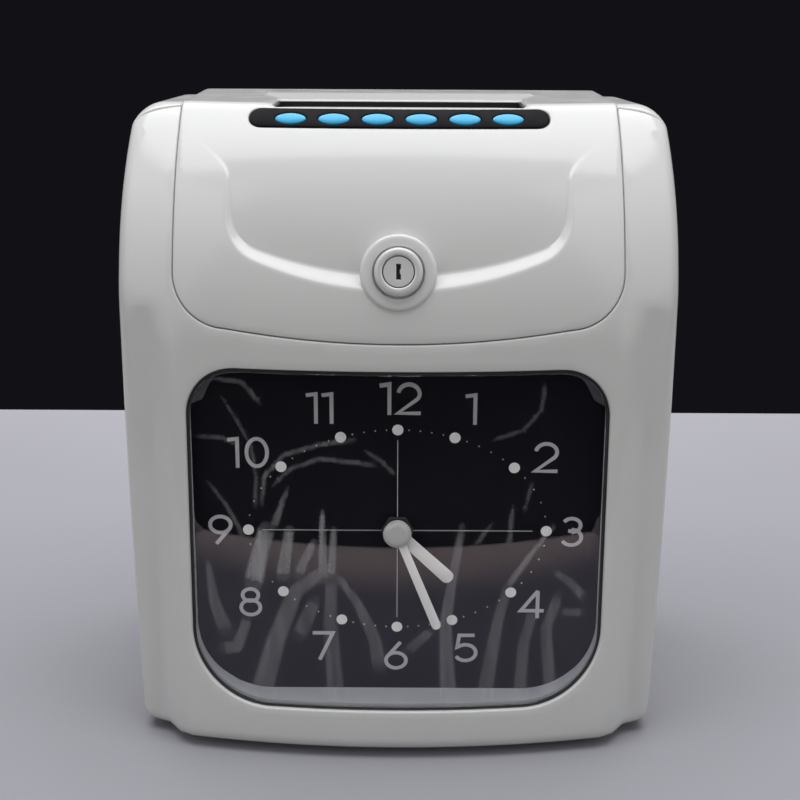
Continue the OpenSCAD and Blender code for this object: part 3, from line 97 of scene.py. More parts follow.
@dataclass
class Skin:
    """Points in millimetres and the faces between them."""

    points: Points
    faces: list[Face]

    def __add__(self, other: Skin) -> Skin:
        """Both skins as one, with nothing welded."""
        shift = len(self.points)
        moved = [tuple(i + shift for i in face) for face in other.faces]
        return Skin(np.vstack([self.points, other.points]), self.faces + moved)

    def placed(self, matrix: Matrix) -> Skin:
        """The skin with its points carried by a matrix in millimetres."""
        turn = np.array(matrix.to_3x3())
        return Skin(self.points @ turn.T + np.array(matrix.translation), self.faces)

    def normals(self) -> Points:
        """Work out the normals of the points.

        Returns:
            Unit normals, weighted by the area of the faces round each point.
        """
        total = np.zeros_like(self.points)
        for size in (3, 4):
            faces = np.array([f for f in self.faces if len(f) == size], int).reshape(-1, size)
            corners = self.points[faces]
            first = corners[:, size - 2] - corners[:, 0]
            across = np.cross(first, corners[:, size - 1] - corners[:, size - 3])
            for k in range(size):
                np.add.at(total, faces[:, k], across)
        return unit(total)

    def rims(self) -> list[list[int]]:
        """Find the open edges.

        Returns:
            Loops of point indices, each with the faces on its left.
        """
        edges = {(f[i], f[(i + 1) % len(f)]) for f in self.faces for i in range(len(f))}
        after = {a: b for a, b in edges if (b, a) not in edges}
        loops = []
        while after:
            start = next(iter(after))
            loop = [start]
            step = after.pop(start)
            while step != start:
                loop.append(step)
                step = after.pop(step)
            loops.append(loop)
        return loops

    def thickened(self, wall: float, roll: float, inner: Points | None = None) -> Skin:
        """Make a closed shell of this open sheet, with its edges rolled round.

        Args:
            wall: Thickness of the shell.
            roll: Radius of the rolled edges.
            inner: Points of the inner face, where they aren't one wall below the sheet.
        Returns:
            The shell.
        """
        normal = self.normals()
        below = self.points - normal * wall if inner is None else inner
        work = Sewing(self)
        under = work.add(below)
        work.faces += [tuple(under[i] for i in reversed(face)) for face in self.faces]
        for loop in self.rims():
            at, up = self.points[loop], normal[loop]
            ahead = unit(np.roll(at, -1, axis=0) - at)
            out = unit(np.cross(ahead + np.roll(ahead, 1, axis=0), up)) * roll
            last = loop
            for angle in np.linspace(0, math.pi / 2, ROLL_STEPS + 1)[1:]:
                last = work.row(last, at + out * math.sin(angle) - up * roll * (1 - math.cos(angle)))
            last = work.row(last, below[loop] + out)
            work.join(last, [under[i] for i in loop], True)
        return work.skin()


class Sewing:
    """A skin that grows by rows of points."""

    def __init__(self, skin: Skin) -> None:
        """Start from a skin."""
        self.rows = [skin.points]
        self.faces = list(skin.faces)
        self.total = len(skin.points)

    def add(self, points: Points) -> list[int]:
        """Add loose points and return their indices."""
        ids = list(range(self.total, self.total + len(points)))
        self.rows.append(points)
        self.total += len(points)
        return ids

    def join(self, first: Sequence[int], second: Sequence[int], ring: bool) -> None:
        """Fill the strip between two rows of one count, which close on themselves in a ring."""
        size = len(first)
        for i in range(size if ring else size - 1):
            j = (i + 1) % size
            self.faces.append((first[j], first[i], second[i], second[j]))

    def row(self, last: Sequence[int], points: Points, ring: bool = True) -> list[int]:
        """Join a further row to the last one and return its indices."""
        ids = self.add(points)
        self.join(last, ids, ring)
        return ids

    def skin(self) -> Skin:
        """All of it so far."""
        return Skin(np.vstack(self.rows), self.faces)


def joined(skins: Iterable[Skin]) -> Skin:
    """Several skins as one, with nothing welded."""
    first, *others = skins
    return sum(others, first)


def loft(rows: Sequence[Points], wrap: bool = False) -> Skin:
    """Join closed rows of points with quads.

    Args:
        rows: Rows of points, all of one count.
        wrap: Whether the last row joins the first; otherwise both are filled.
    Returns:
        The skin through the rows.
    """
    grid = np.asarray(rows, float)
    count, size = grid.shape[:2]
    faces: list[Face] = []
    for r in range(count if wrap else count - 1):
        a, b = r * size, (r + 1) % count * size
        for i in range(size):
            j = (i + 1) % size
            faces.append((a + i, a + j, b + j, b + i))
    if not wrap:
        faces.append(tuple(range(size - 1, -1, -1)))
        faces.append(tuple(range((count - 1) * size, count * size)))
    return Skin(grid.reshape(-1, 3), faces)


def lathe(profile: Sequence[Pair], sides: int = 64, wrap: bool = False) -> Skin:
    """Turn radii and heights about the local Z axis; wrap closes the profile on itself."""
    around = circle(0, 0, 1, sides)
    return loft([np.column_stack([r * around, np.full(sides, h)]) for r, h in profile], wrap)


def prism(shape: Points, x: float, width: float, shrink: float) -> Skin:
    """Draw a side view outline out across the width, with softened ends.

    Args:
        shape: Depth and height of the outline's points.
        x: Middle of the prism.
        width: Its width.
        shrink: Size of the outline at the very ends.
    Returns:
        The prism.
    """
    half = width / 2
    full = half - SOFT_END
    middle = shape.mean(0)
    rows = []
    for dx, size in ((-half, shrink), (-full, 1.0), (full, 1.0), (half, shrink)):
        section = middle + (shape - middle) * size
        rows.append(np.column_stack([np.full(len(section), x + dx), section]))
    return loft(rows)


def arc(cx: float, cy: float, r: float, a0: float, a1: float, count: int) -> Points:
    """Points on an arc from angle a0 to a1 in degrees, ends included."""
    a = np.radians(np.linspace(a0, a1, count + 1))
    return np.column_stack([cx + r * np.cos(a), cy + r * np.sin(a)])


def circle(cx: float, cy: float, r: float, count: int) -> Points:
    """Points round a circle."""
    return arc(cx, cy, r, 0, 360, count)[:-1]


def line(x0: float, y0: float, x1: float, y1: float, count: int) -> Points:
    """Points on a straight stretch, without its last one."""
    t = np.linspace(0, 1, count, endpoint=False)[:, None]
    return np.array([x0, y0]) * (1 - t) + np.array([x1, y1]) * t


def polygon(corners: Sequence[Pair], counts: Sequence[int]) -> Points:
    """A closed outline through corners, with so many points on each side."""
    after = [*corners[1:], corners[0]]
    return np.vstack([line(*a, *b, count) for a, b, count in zip(corners, after, counts)])


def stadium(size: Pair, grow: float, count: int = 12) -> Points:
    """A closed outline with round ends of so many steps, larger than its size all round."""
    length, height = (extent + 2 * grow for extent in size)
    r, x = height / 2, (length - height) / 2
    upper = line(x, r, -x, r, max(2, int(x)))[1:]
    return np.vstack([arc(x, 0, r, -90, 90, count), upper, arc(-x, 0, r, 90, 270, count), -upper])


def mirrored(right: Points) -> Points:
    """A whole line from its right half, which starts in the middle."""
    return np.vstack([(right * [-1, 1])[:0:-1], right])


def stood(at: Points, y: Any) -> Points:
    """Points of the front view, set at a depth."""
    return np.column_stack([at[:, 0], np.broadcast_to(y, len(at)), at[:, 1]])


def bow(start: Points, corner: Points, end: Points, t: Any) -> Points:
    """A place on the curve that rounds a corner, from 0 at its start to 1 at its end."""
    return start * (1 - t) ** 2 + corner * 2 * t * (1 - t) + end * t * t


def unit(rows: Points) -> Points:
    """Rows scaled to length 1."""
    return rows / np.maximum(np.linalg.norm(rows, axis=1, keepdims=True), TINY)


def left_of(ahead: Points) -> Points:
    """Unit directions to the left of directions in the plane."""
    ahead = unit(ahead)
    return np.column_stack([-ahead[:, 1], ahead[:, 0]])


def run_along(path: Points) -> Points:
    """Distance along a line at each of its points."""
    return np.concatenate([[0], np.cumsum(np.linalg.norm(np.diff(path, axis=0), axis=1))])


def resampled(path: Points, spacing: float) -> Points:
    """Points set evenly along an open line."""
    run = run_along(path)
    at = np.linspace(0, run[-1], max(4, int(round(run[-1] / spacing))) + 1)
    return np.column_stack([np.interp(at, run, column) for column in path.T])


def smooth(t: Any) -> Any:
    """A soft step from 0 to 1."""
    t = np.clip(t, 0, 1)
    return t * t * (3 - 2 * t)


def turned(degrees: float, axis: str) -> Matrix:
    """A turn about an axis through the origin."""
    return Matrix.Rotation(math.radians(degrees), 4, axis)


def box_mm(node: str) -> list[Points]:
    """Low and high corner of a solid's box, in millimetres."""
    return [np.array(corner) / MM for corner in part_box(node)]


def inside(points: Points, loops: Sequence[Points]) -> Points:
    """Test which points of the plane lie inside the first loop and outside the others.

    Args:
        points: The points.
        loops: The outer loop and any holes.
    Returns:
        One truth value for each point.
    """
    x, y = points[:, 0:1], points[:, 1:2]
    found = []
    for loop in loops:
        x0, y0 = loop.T
        x1, y1 = np.roll(x0, -1), np.roll(y0, -1)
        rise = np.where(y1 == y0, TINY, y1 - y0)
        crossing = ((y0 > y) != (y1 > y)) & (x < (x1 - x0) * (y - y0) / rise + x0)
        found.append(np.count_nonzero(crossing, axis=1) % 2 == 1)
    return found[0] & ~np.any(found[1:], axis=0)


def distance(points: Points, path: Points, closed: bool = True) -> Points:
    """Measure from points of the plane to a line.

    Args:
        points: The points.
        path: Points of the line.
        closed: Whether the line closes on itself.
    Returns:
        The least distance of each point.
    """
    a = path if closed else path[:-1]
    ab = (np.roll(path, -1, axis=0) if closed else path[1:]) - a
    size = np.maximum((ab**2).sum(1), TINY)
    found = []
    for some in np.array_split(points, len(points) // 1500 + 1):
        p = some[:, None]
        t = np.clip(((p - a) * ab).sum(2) / size, 0, 1)[..., None]
        found.append(np.linalg.norm(p - a - t * ab, axis=2).min(1))
    return np.concatenate(found)


@dataclass
class Region:
    """A triangulated region of the plane, with the indices of the points of its loops."""

    points: Points
    faces: list[Face]
    loops: list[list[int]]

    @classmethod
    def fill(cls, loops: Sequence[Points], spacing: float, extra: Points | None = None) -> Region:
        """Triangulate the inside of the first loop, less the other loops.

        Args:
            loops: The outer loop and any holes.
            spacing: Spacing of the points inside.
            extra: Further points inside, where the surface bends quickly.
        Returns:
            The region.
        """
        low, high = loops[0].min(0), loops[0].max(0)
        rise = spacing * math.sqrt(3) / 2
        xs = np.arange(low[0], high[0], spacing)
        zs = np.arange(low[1] + rise / 2, high[1], rise)
        grid = np.array([(x + i % 2 * spacing / 2, z) for i, z in enumerate(zs) for x in xs])
        if extra is not None:
            taken = {tuple(cell) for cell in (extra // spacing).astype(int)}
            free = [tuple(cell) not in taken for cell in (grid // spacing).astype(int)]
            grid = np.vstack([grid[free], extra])
        grid = grid[inside(grid, loops)]
        for loop in loops:
            grid = grid[distance(grid, loop) > FREE_SHARE * spacing]
        own, edges, total = [], [], 0
        for loop in loops:
            ids = list(range(total, total + len(loop)))
            own.append(ids)
            edges += zip(ids, ids[1:] + ids[:1])
            total += len(loop)
        seeds = [Vector((float(x), float(z))) for x, z in np.vstack([*loops, grid])]
        found = delaunay_2d_cdt(seeds, edges, [], 0, 1e-6)
        points = np.array([(v.x, v.y) for v in found[0]])
        place = {source: i for i, sources in enumerate(found[3]) for source in sources}
        faces = [tuple(f) for f in found[2]]
        keep = inside(points[np.array(faces)].mean(1), loops)
        return cls(points, [f for f, k in zip(faces, keep) if k], [[place[i] for i in ids] for ids in own])


# Shader and geometry node trees


class NodeTree:
    """A node tree under construction, with short calls to add nodes and join them."""

    def __init__(self, tree: bpy.types.NodeTree) -> None:
        """Start from an empty tree."""
        self.tree = tree
        tree.nodes.clear()

    def add(self, kind: str, inputs: dict[Any, Any] | None = None, **settings: Any) -> bpy.types.Node:
        """Add a node.

        Args:
            kind: The node's type name.
            inputs: Values, or sockets to join, by input name or index.
            settings: Properties of the node itself.
        Returns:
            The node.
        """
        node = self.tree.nodes.new(kind)
        for key, value in settings.items():
            setattr(node, key, value)
        for key, value in (inputs or {}).items():
            socket = node.inputs[key]
            if isinstance(value, Socket):
                self.tree.links.new(value, socket)
            else:
                socket.default_value = (*value, 1.0) if socket.type == "RGBA" else value
        return node

    def socket(self, name: str, kind: str, side: str = "INPUT") -> str:
        """Add a named socket to the tree's own interface and return its identifier."""
        kind = "NodeSocket" + kind
        return self.tree.interface.new_socket(name=name, in_out=side, socket_type=kind).identifier

    def math(self, operation: str, *values: Any, **settings: Any) -> Socket:
        """Work out one value from others."""
        return self.add("ShaderNodeMath", dict(enumerate(values)), operation=operation, **settings).outputs[0]

    def ranged(self, value: Any, source: Pair = (0, 1), target: Pair = (0, 1), **settings: Any) -> Socket:
        """Carry a value from one range to another."""
        limits = dict(enumerate((value, *source, *target)))
        return self.add("ShaderNodeMapRange", limits, **settings).outputs[0]

    def blend(self, share: Any, first: Any, second: Any) -> Socket:
        """Mix two colours."""
        return self.add("ShaderNodeMix", {0: share, 6: first, 7: second}, data_type="RGBA").outputs[2]

    def noise(self, place: Socket, scale: Any, detail: float, **more: float) -> Socket:
        """Add noise that changes over a place."""
        inputs = {"Vector": place, "Scale": scale, "Detail": detail, **more}
        return self.add("ShaderNodeTexNoise", inputs).outputs[0]

    def group(self, tree: bpy.types.NodeTree, place: Socket, scale: float) -> bpy.types.Node:
        """Place a shared group with its coordinates and scale."""
        return self.add("ShaderNodeGroup", {"Vector": place, "Scale": scale}, node_tree=tree)


class SharedEffects:
    """Shader groups that several finishes use, each built once."""

    @staticmethod
    def start(name: str, *outputs: str) -> tuple[NodeTree, Socket, Socket]:
        """Start a group that takes coordinates and a scale.

        Args:
            name: Name of the group.
            outputs: Names of the values that it gives.
        Returns:
            Its tree and the sockets of the coordinates and the scale.
        """
        net = NodeTree(bpy.data.node_groups.new(name, "ShaderNodeTree"))
        net.socket("Vector", "Vector")
        net.socket("Scale", "Float")
        for output in outputs:
            net.socket(output, "Float", "OUTPUT")
        source = net.add("NodeGroupInput")
        return net, source.outputs["Vector"], source.outputs["Scale"]

    @staticmethod
    @cache
    def grain() -> bpy.types.NodeTree:
        """Fine moulded or drawn texture.

        Returns:
            A group that gives a height.
        """
        net, place, scale = SharedEffects.start("surface_grain", "Height")
        fine = net.noise(place, scale, 2.0, Roughness=0.5)
        coarse = net.noise(place, net.math("MULTIPLY", scale, 0.12), 3.0)
        mix = net.add("ShaderNodeMix", {0: 0.35, 2: fine, 3: coarse}, data_type="FLOAT")
        net.add("NodeGroupOutput", {0: mix.outputs[0]})
        return net.tree

    @staticmethod
    @cache
    def handling() -> bpy.types.NodeTree:
        """Traces of use.

        Returns:
            A group that gives slow mottle, smudges from hands and dust on faces that look up.
        """
        net, place, scale = SharedEffects.start("handling_traces", "Mottle", "Smudge", "Dust")
        mottle = net.noise(place, scale, 4.0, Roughness=0.55)
        smudge = net.noise(place, net.math("MULTIPLY", scale, 3.7), 5.0, Distortion=0.6)
        normal = net.add("ShaderNodeNewGeometry").outputs["Normal"]
        height = net.add("ShaderNodeSeparateXYZ", {0: normal}).outputs[2]
        dust = net.math("MULTIPLY", net.ranged(height, (0.35, 1.0)), smudge)
        net.add("NodeGroupOutput", {0: mottle, 1: net.ranged(smudge, (0.42, 0.68)), 2: dust})
        return net.tree


@dataclass(frozen=True)
class Dressing:
    """A material, named after the record's slot that it belongs to where it has one."""

    slot: str

    def inputs(self, net: NodeTree, place: Socket) -> dict[str, Any]:
        """Add the nodes before the shader.

        Args:
            net: The material's tree.
            place: Object coordinates.
        Returns:
            Values and sockets for the shader, by the name of its input.
        """
        raise NotImplementedError

    @cache
    def build(self) -> Material:
        """Make the material, once.

        Returns:
            The material.
        """
        made = bpy.data.materials.new(self.slot)
        made.use_nodes = True
        net = NodeTree(made.node_tree)
        inputs = self.inputs(net, net.add("ShaderNodeTexCoord").outputs["Object"])
        shader = net.add("ShaderNodeBsdfPrincipled", inputs)
        net.add("ShaderNodeOutputMaterial", {"Surface": shader.outputs[0]})
        return made


class Pattern(Enum):
    """How the fine texture of a finish runs."""

    GRAIN = auto()
    BRUSHED = auto()
    TURNED = auto()
    WOVEN = auto()
    WOUND = auto()
    PRINTED_BOARD = auto()


@dataclass(frozen=True)
class Finish(Dressing):
    """One opaque finish: mottled colour, fine texture and traces of use."""

    colour: Colour
    shade: Colour
    rough: float
    rough_far: float
    grain: float = 900.0
    bump: float = 0.12
    metallic: float = 0.0
    traces: float = 22.0
    dust: float = 0.0
    pattern: Pattern = Pattern.GRAIN
    subsurface: float = 0.0
    shine: float = 0.5
    relief: float = 0.04
    dust_colour: Colour = (0.55, 0.54, 0.52)

    def height(self, net: NodeTree, place: Socket) -> Socket:
        """Add the nodes of the fine texture.

        Args:
            net: The material's tree.
            place: Object coordinates.
        Returns:
            The socket that gives the texture's height.
        """
        if self.pattern in (Pattern.WOVEN, Pattern.WOUND):
            wave = {"Vector": place, "Scale": self.grain / 8}
            way = "Z" if self.pattern is Pattern.WOUND else "X"
            across = net.add("ShaderNodeTexWave", {**wave, "Distortion": 0.4}, bands_direction=way)
            along = net.add("ShaderNodeTexWave", wave, bands_direction="Z")
            return net.math("ADD", across.outputs[1], along.outputs[1])
        drawn = {Pattern.BRUSHED: 0.05, Pattern.TURNED: 0.04}.get(self.pattern, 1.0)
        along = net.add("ShaderNodeMapping", {"Vector": place, "Scale": (1.0, drawn, 1.0)})
        grain = net.group(SharedEffects.grain(), along.outputs[0], self.grain).outputs[0]
        if self.pattern is Pattern.PRINTED_BOARD:
            cells = net.add("ShaderNodeTexBrick", {"Vector": place, "Scale": 90.0, "Mortar Size": 0.03})
            return net.math("ADD", cells.outputs["Fac"], grain)
        return grain

    def inputs(self, net: NodeTree, place: Socket) -> dict[str, Any]:
        """Add the nodes before the shader, as Dressing.inputs says."""
        traces = net.group(SharedEffects.handling(), place, self.traces).outputs
        colour = net.blend(traces["Mottle"], self.colour, self.shade)
        if self.dust > 0:
            colour = net.blend(net.math("MULTIPLY", traces["Dust"], self.dust), colour, self.dust_colour)
        relief = {"Height": self.height(net, place), "Strength": self.bump, "Distance": self.relief * MM}
        return {
            "Base Color": colour,
            "Roughness": net.ranged(traces["Smudge"], target=(self.rough, self.rough_far)),
            "Normal": net.add("ShaderNodeBump", relief).outputs[0],
            "Metallic": self.metallic,
            "Specular IOR Level": self.shine,
            "Subsurface Weight": self.subsurface,
            "Subsurface Scale": 2 * MM,
        }


@dataclass(frozen=True)
class ClearFinish(Dressing):
    """A clear moulding: refracts, lets the lamps through and is faintly smudged."""

    slot: str = "clear_lens"
    colour: Colour = (0.985, 0.985, 0.99)
    smudge: Colour = (0.95, 0.955, 0.965)
    tint: Colour = (0.86, 0.84, 1.0)
    traces: float = 30.0
    ior: float = 1.42

    def inputs(self, net: NodeTree, place: Socket) -> dict[str, Any]:
        """Add the nodes before the shader, as Dressing.inputs says."""
        traces = net.group(SharedEffects.handling(), place, self.traces).outputs
        shadow = net.add("ShaderNodeLightPath").outputs["Is Shadow Ray"]
        return {
            "Base Color": net.blend(traces["Smudge"], self.colour, self.smudge),
            "Roughness": 0.0,
            "Specular Tint": self.tint,
            "IOR": self.ior,
            "Alpha": net.math("SUBTRACT", 1.0, shadow),
            "Transmission Weight": 1.0,
        }


class Finishes:
    """Every finish of the clock, by the record's slot."""

    CASE = Finish("case_white", (0.80, 0.805, 0.80), (0.77, 0.775, 0.775), 0.12, 0.17, 1400, 0.05, dust=0.05)
    RUBBER = Finish("foot_rubber", (0.025, 0.025, 0.027), (0.04, 0.04, 0.04), 0.75, 0.9, 1800, 0.35, dust=0.3)
    LENS = ClearFinish()
    SURROUND = Finish("surround_grey", (0.42, 0.425, 0.46), (0.37, 0.375, 0.41), 0.35, 0.5, 1500, 0.1)
    DIAL = Finish(
        "dial_black", (0.004, 0.0036, 0.007), (0.006, 0.0055, 0.010), 0.45, 0.6, 2600, 0.1, shine=0.15
    )
    HAND = Finish("hand_white", (0.92, 0.915, 0.91), (0.88, 0.875, 0.87), 0.38, 0.5, 1500, 0.08)
    PRINT = Finish("hand_white", (0.54, 0.53, 0.56), (0.49, 0.48, 0.51), 0.5, 0.6, 1800, 0.08)
    CAP = Finish("cap_grey", (0.60, 0.60, 0.60), (0.55, 0.55, 0.55), 0.28, 0.4, 1500, 0.06)
    MOVEMENT = Finish("movement_black", (0.03, 0.03, 0.034), (0.05, 0.05, 0.055), 0.5, 0.65, 1200, 0.3)
    BRASS = Finish(
        "brass", (0.70, 0.48, 0.18), (0.55, 0.36, 0.13), 0.25, 0.4, 2500, 0.1, 1.0, pattern=Pattern.TURNED
    )
    COPPER = Finish(
        "coil_copper", (0.62, 0.27, 0.12), (0.42, 0.16, 0.07), 0.3, 0.45, 6000, 0.6, 1.0,
        pattern=Pattern.WOUND,
    )
    ROTOR = Finish("rotor_steel", (0.30, 0.30, 0.32), (0.22, 0.22, 0.24), 0.35, 0.5, 2500, 0.1, 1.0)
    STRIP = Finish(
        "strip_black", (0.006, 0.005, 0.007), (0.010, 0.008, 0.011), 0.5, 0.62, 1800, 0.1, shine=0.1
    )
    KEY = Finish(
        "key_blue", (0.09, 0.58, 0.94), (0.08, 0.53, 0.90), 0.3, 0.4, 1600, 0.05,
        traces=60.0, subsurface=0.1, shine=0.35,
    )
    BOARD = Finish(
        "board_green", (0.012, 0.11, 0.045), (0.02, 0.16, 0.07), 0.3, 0.45, 1600, 0.4,
        pattern=Pattern.PRINTED_BOARD,
    )
    COMPONENT = Finish("component_black", (0.02, 0.02, 0.022), (0.05, 0.05, 0.055), 0.4, 0.6, 1500, 0.2)
    LOCK = Finish("lock_satin", (0.78, 0.78, 0.775), (0.72, 0.72, 0.72), 0.34, 0.44, 3200, 0.07, 0.15)
    STEEL = Finish(
        "bright_steel", (0.56, 0.57, 0.58), (0.42, 0.43, 0.44), 0.2, 0.35, 2600, 0.1, 1.0,
        pattern=Pattern.TURNED,
    )
    ZINC = Finish(
        "sheet_zinc", (0.52, 0.53, 0.54), (0.40, 0.42, 0.45), 0.35, 0.5, 1500, 0.2, 1.0, 70.0,
        pattern=Pattern.BRUSHED,
    )
    GUIDE = Finish("guide_black", (0.02, 0.02, 0.023), (0.035, 0.035, 0.04), 0.45, 0.6, 1600, 0.3)
    ROLLER = Finish("roller_rubber", (0.015, 0.015, 0.016), (0.03, 0.03, 0.03), 0.7, 0.9, 2600, 0.5)
    PINCH = Finish("pinch_grey", (0.09, 0.09, 0.10), (0.13, 0.13, 0.14), 0.5, 0.65, 1800, 0.2)
    NYLON = Finish(
        "gear_nylon", (0.72, 0.68, 0.55), (0.66, 0.61, 0.48), 0.45, 0.6, 1600, 0.1, subsurface=0.15
    )
    MOTOR = Finish(
        "motor_can", (0.46, 0.47, 0.48), (0.36, 0.37, 0.38), 0.28, 0.4, 2200, 0.12, 1.0,
        pattern=Pattern.BRUSHED,
    )
    ALLOY = Finish("head_alloy", (0.06, 0.06, 0.07), (0.09, 0.09, 0.10), 0.35, 0.5, 2200, 0.15, 0.8)
    CARTRIDGE = Finish("cartridge_black", (0.022, 0.022, 0.025), (0.04, 0.04, 0.045), 0.42, 0.58, 1500, 0.4)
    RIBBON = Finish(
        "ribbon_ink", (0.02, 0.012, 0.06), (0.05, 0.03, 0.11), 0.7, 0.85, 9000, 0.6, pattern=Pattern.WOVEN
    )
    KNOB = Finish("knob_blue", (0.03, 0.12, 0.38), (0.05, 0.16, 0.44), 0.4, 0.55, 1500, 0.2)
    BATTERY = Finish(
        "battery_green", (0.03, 0.16, 0.06), (0.05, 0.22, 0.09), 0.25, 0.35, 700, 0.15, traces=50.0
    )
    JACK = Finish("jack_black", (0.012, 0.012, 0.012), (0.025, 0.025, 0.025), 0.4, 0.55, 1500, 0.25)

    NODES: dict[Finish, str] = {
        DIAL: "dial_plate", MOVEMENT: "movement_case movement_back movement_nut", COPPER: "drive_coil",
        BRASS: "minute_arbor hour_wheel motion_wheel shaft_bushes motor_pinion", ROTOR: "rotor",
        BOARD: "key_board main_board", ZINC: "chassis", COMPONENT: "board_components",
        STEEL: "lock_nut lock_cam cam_screw hinge_pins mechanism_screws feed_shaft guide_rods",
        GUIDE: "card_guide_front card_guide_rear carriage", ROLLER: "feed_rollers drive_belt",
        NYLON: "feed_gear drive_pulley idler_pulley", MOTOR: "feed_motor head_motor",
        PINCH: "pinch_roller", ALLOY: "print_head", CARTRIDGE: "ribbon_cartridge", RIBBON: "ribbon_tape",
        KNOB: "ribbon_knob", BATTERY: "backup_battery", JACK: "power_jack",
    }

    @classmethod
    def dress_frame(cls, nodes: dict[str, Object]) -> None:
        """Give every carried-over solid its finish.

        Args:
            nodes: The solids by name.
        """
        for finish, names in cls.NODES.items():
            for name in names.split():
                slots = nodes[name].data.materials
                slots.clear()
                slots.append(finish.build())


# Pieces in the scene


def link(name: str, data: Any) -> Object:
    """Put a new object with this data in the scene."""
    made = bpy.data.objects.new(name, data)
    bpy.context.scene.collection.objects.link(made)
    return made


def soften(mesh: bpy.types.Mesh, sharp: float) -> None:
    """Shade a mesh smooth, but for edges past an angle in degrees."""
    mesh.polygons.foreach_set("use_smooth", [True] * len(mesh.polygons))
    mesh.set_sharp_from_angle(angle=math.radians(sharp))


def make_object(name: str, skin: Skin, finish: Dressing, sharp: float = SHARP) -> Object:
    """Make one object of a closed skin.

    Args:
        name: Name of the object.
        skin: Its points and faces, in millimetres.
        finish: Its finish.
        sharp: Angle in degrees past which an edge stays sharp.
    Returns:
        The object, at the origin.
    """
    mesh = bpy.data.meshes.new(name)
    mesh.from_pydata((skin.points * MM).tolist(), [], skin.faces)
    work = bmesh.new()
    work.from_mesh(mesh)
    bmesh.ops.remove_doubles(work, verts=work.verts, dist=1e-7)
    bmesh.ops.recalc_face_normals(work, faces=work.faces)
    work.to_mesh(mesh)
    work.free()
    mesh.materials.append(finish.build())
    soften(mesh, sharp)
    return link(name, mesh)


def place_piece(piece: Object, body: str, slot: str, *nodes: str) -> None:
    """Fix a piece to its body and hide the solids that it stands for.

    Args:
        piece: The piece.
        body: The body that it moves with.
        slot: The record's slot of its finish; not used.
        nodes: The solids that it stands for.
    """
    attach(piece, body)
    if nodes:
        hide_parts(*nodes)
    LOG.info("%s rides on %s for %s", piece.name, body, ", ".join(nodes) or "no solid")


def add_piece(
    name: str, skin: Skin, finish: Dressing, body: str, *nodes: str, sharp: float = SHARP
) -> Object:
    """Make one piece and fix it to its body, as make_object and place_piece do."""
    piece = make_object(name, skin, finish, sharp)
    place_piece(piece, body, finish.slot, *nodes)
    return piece


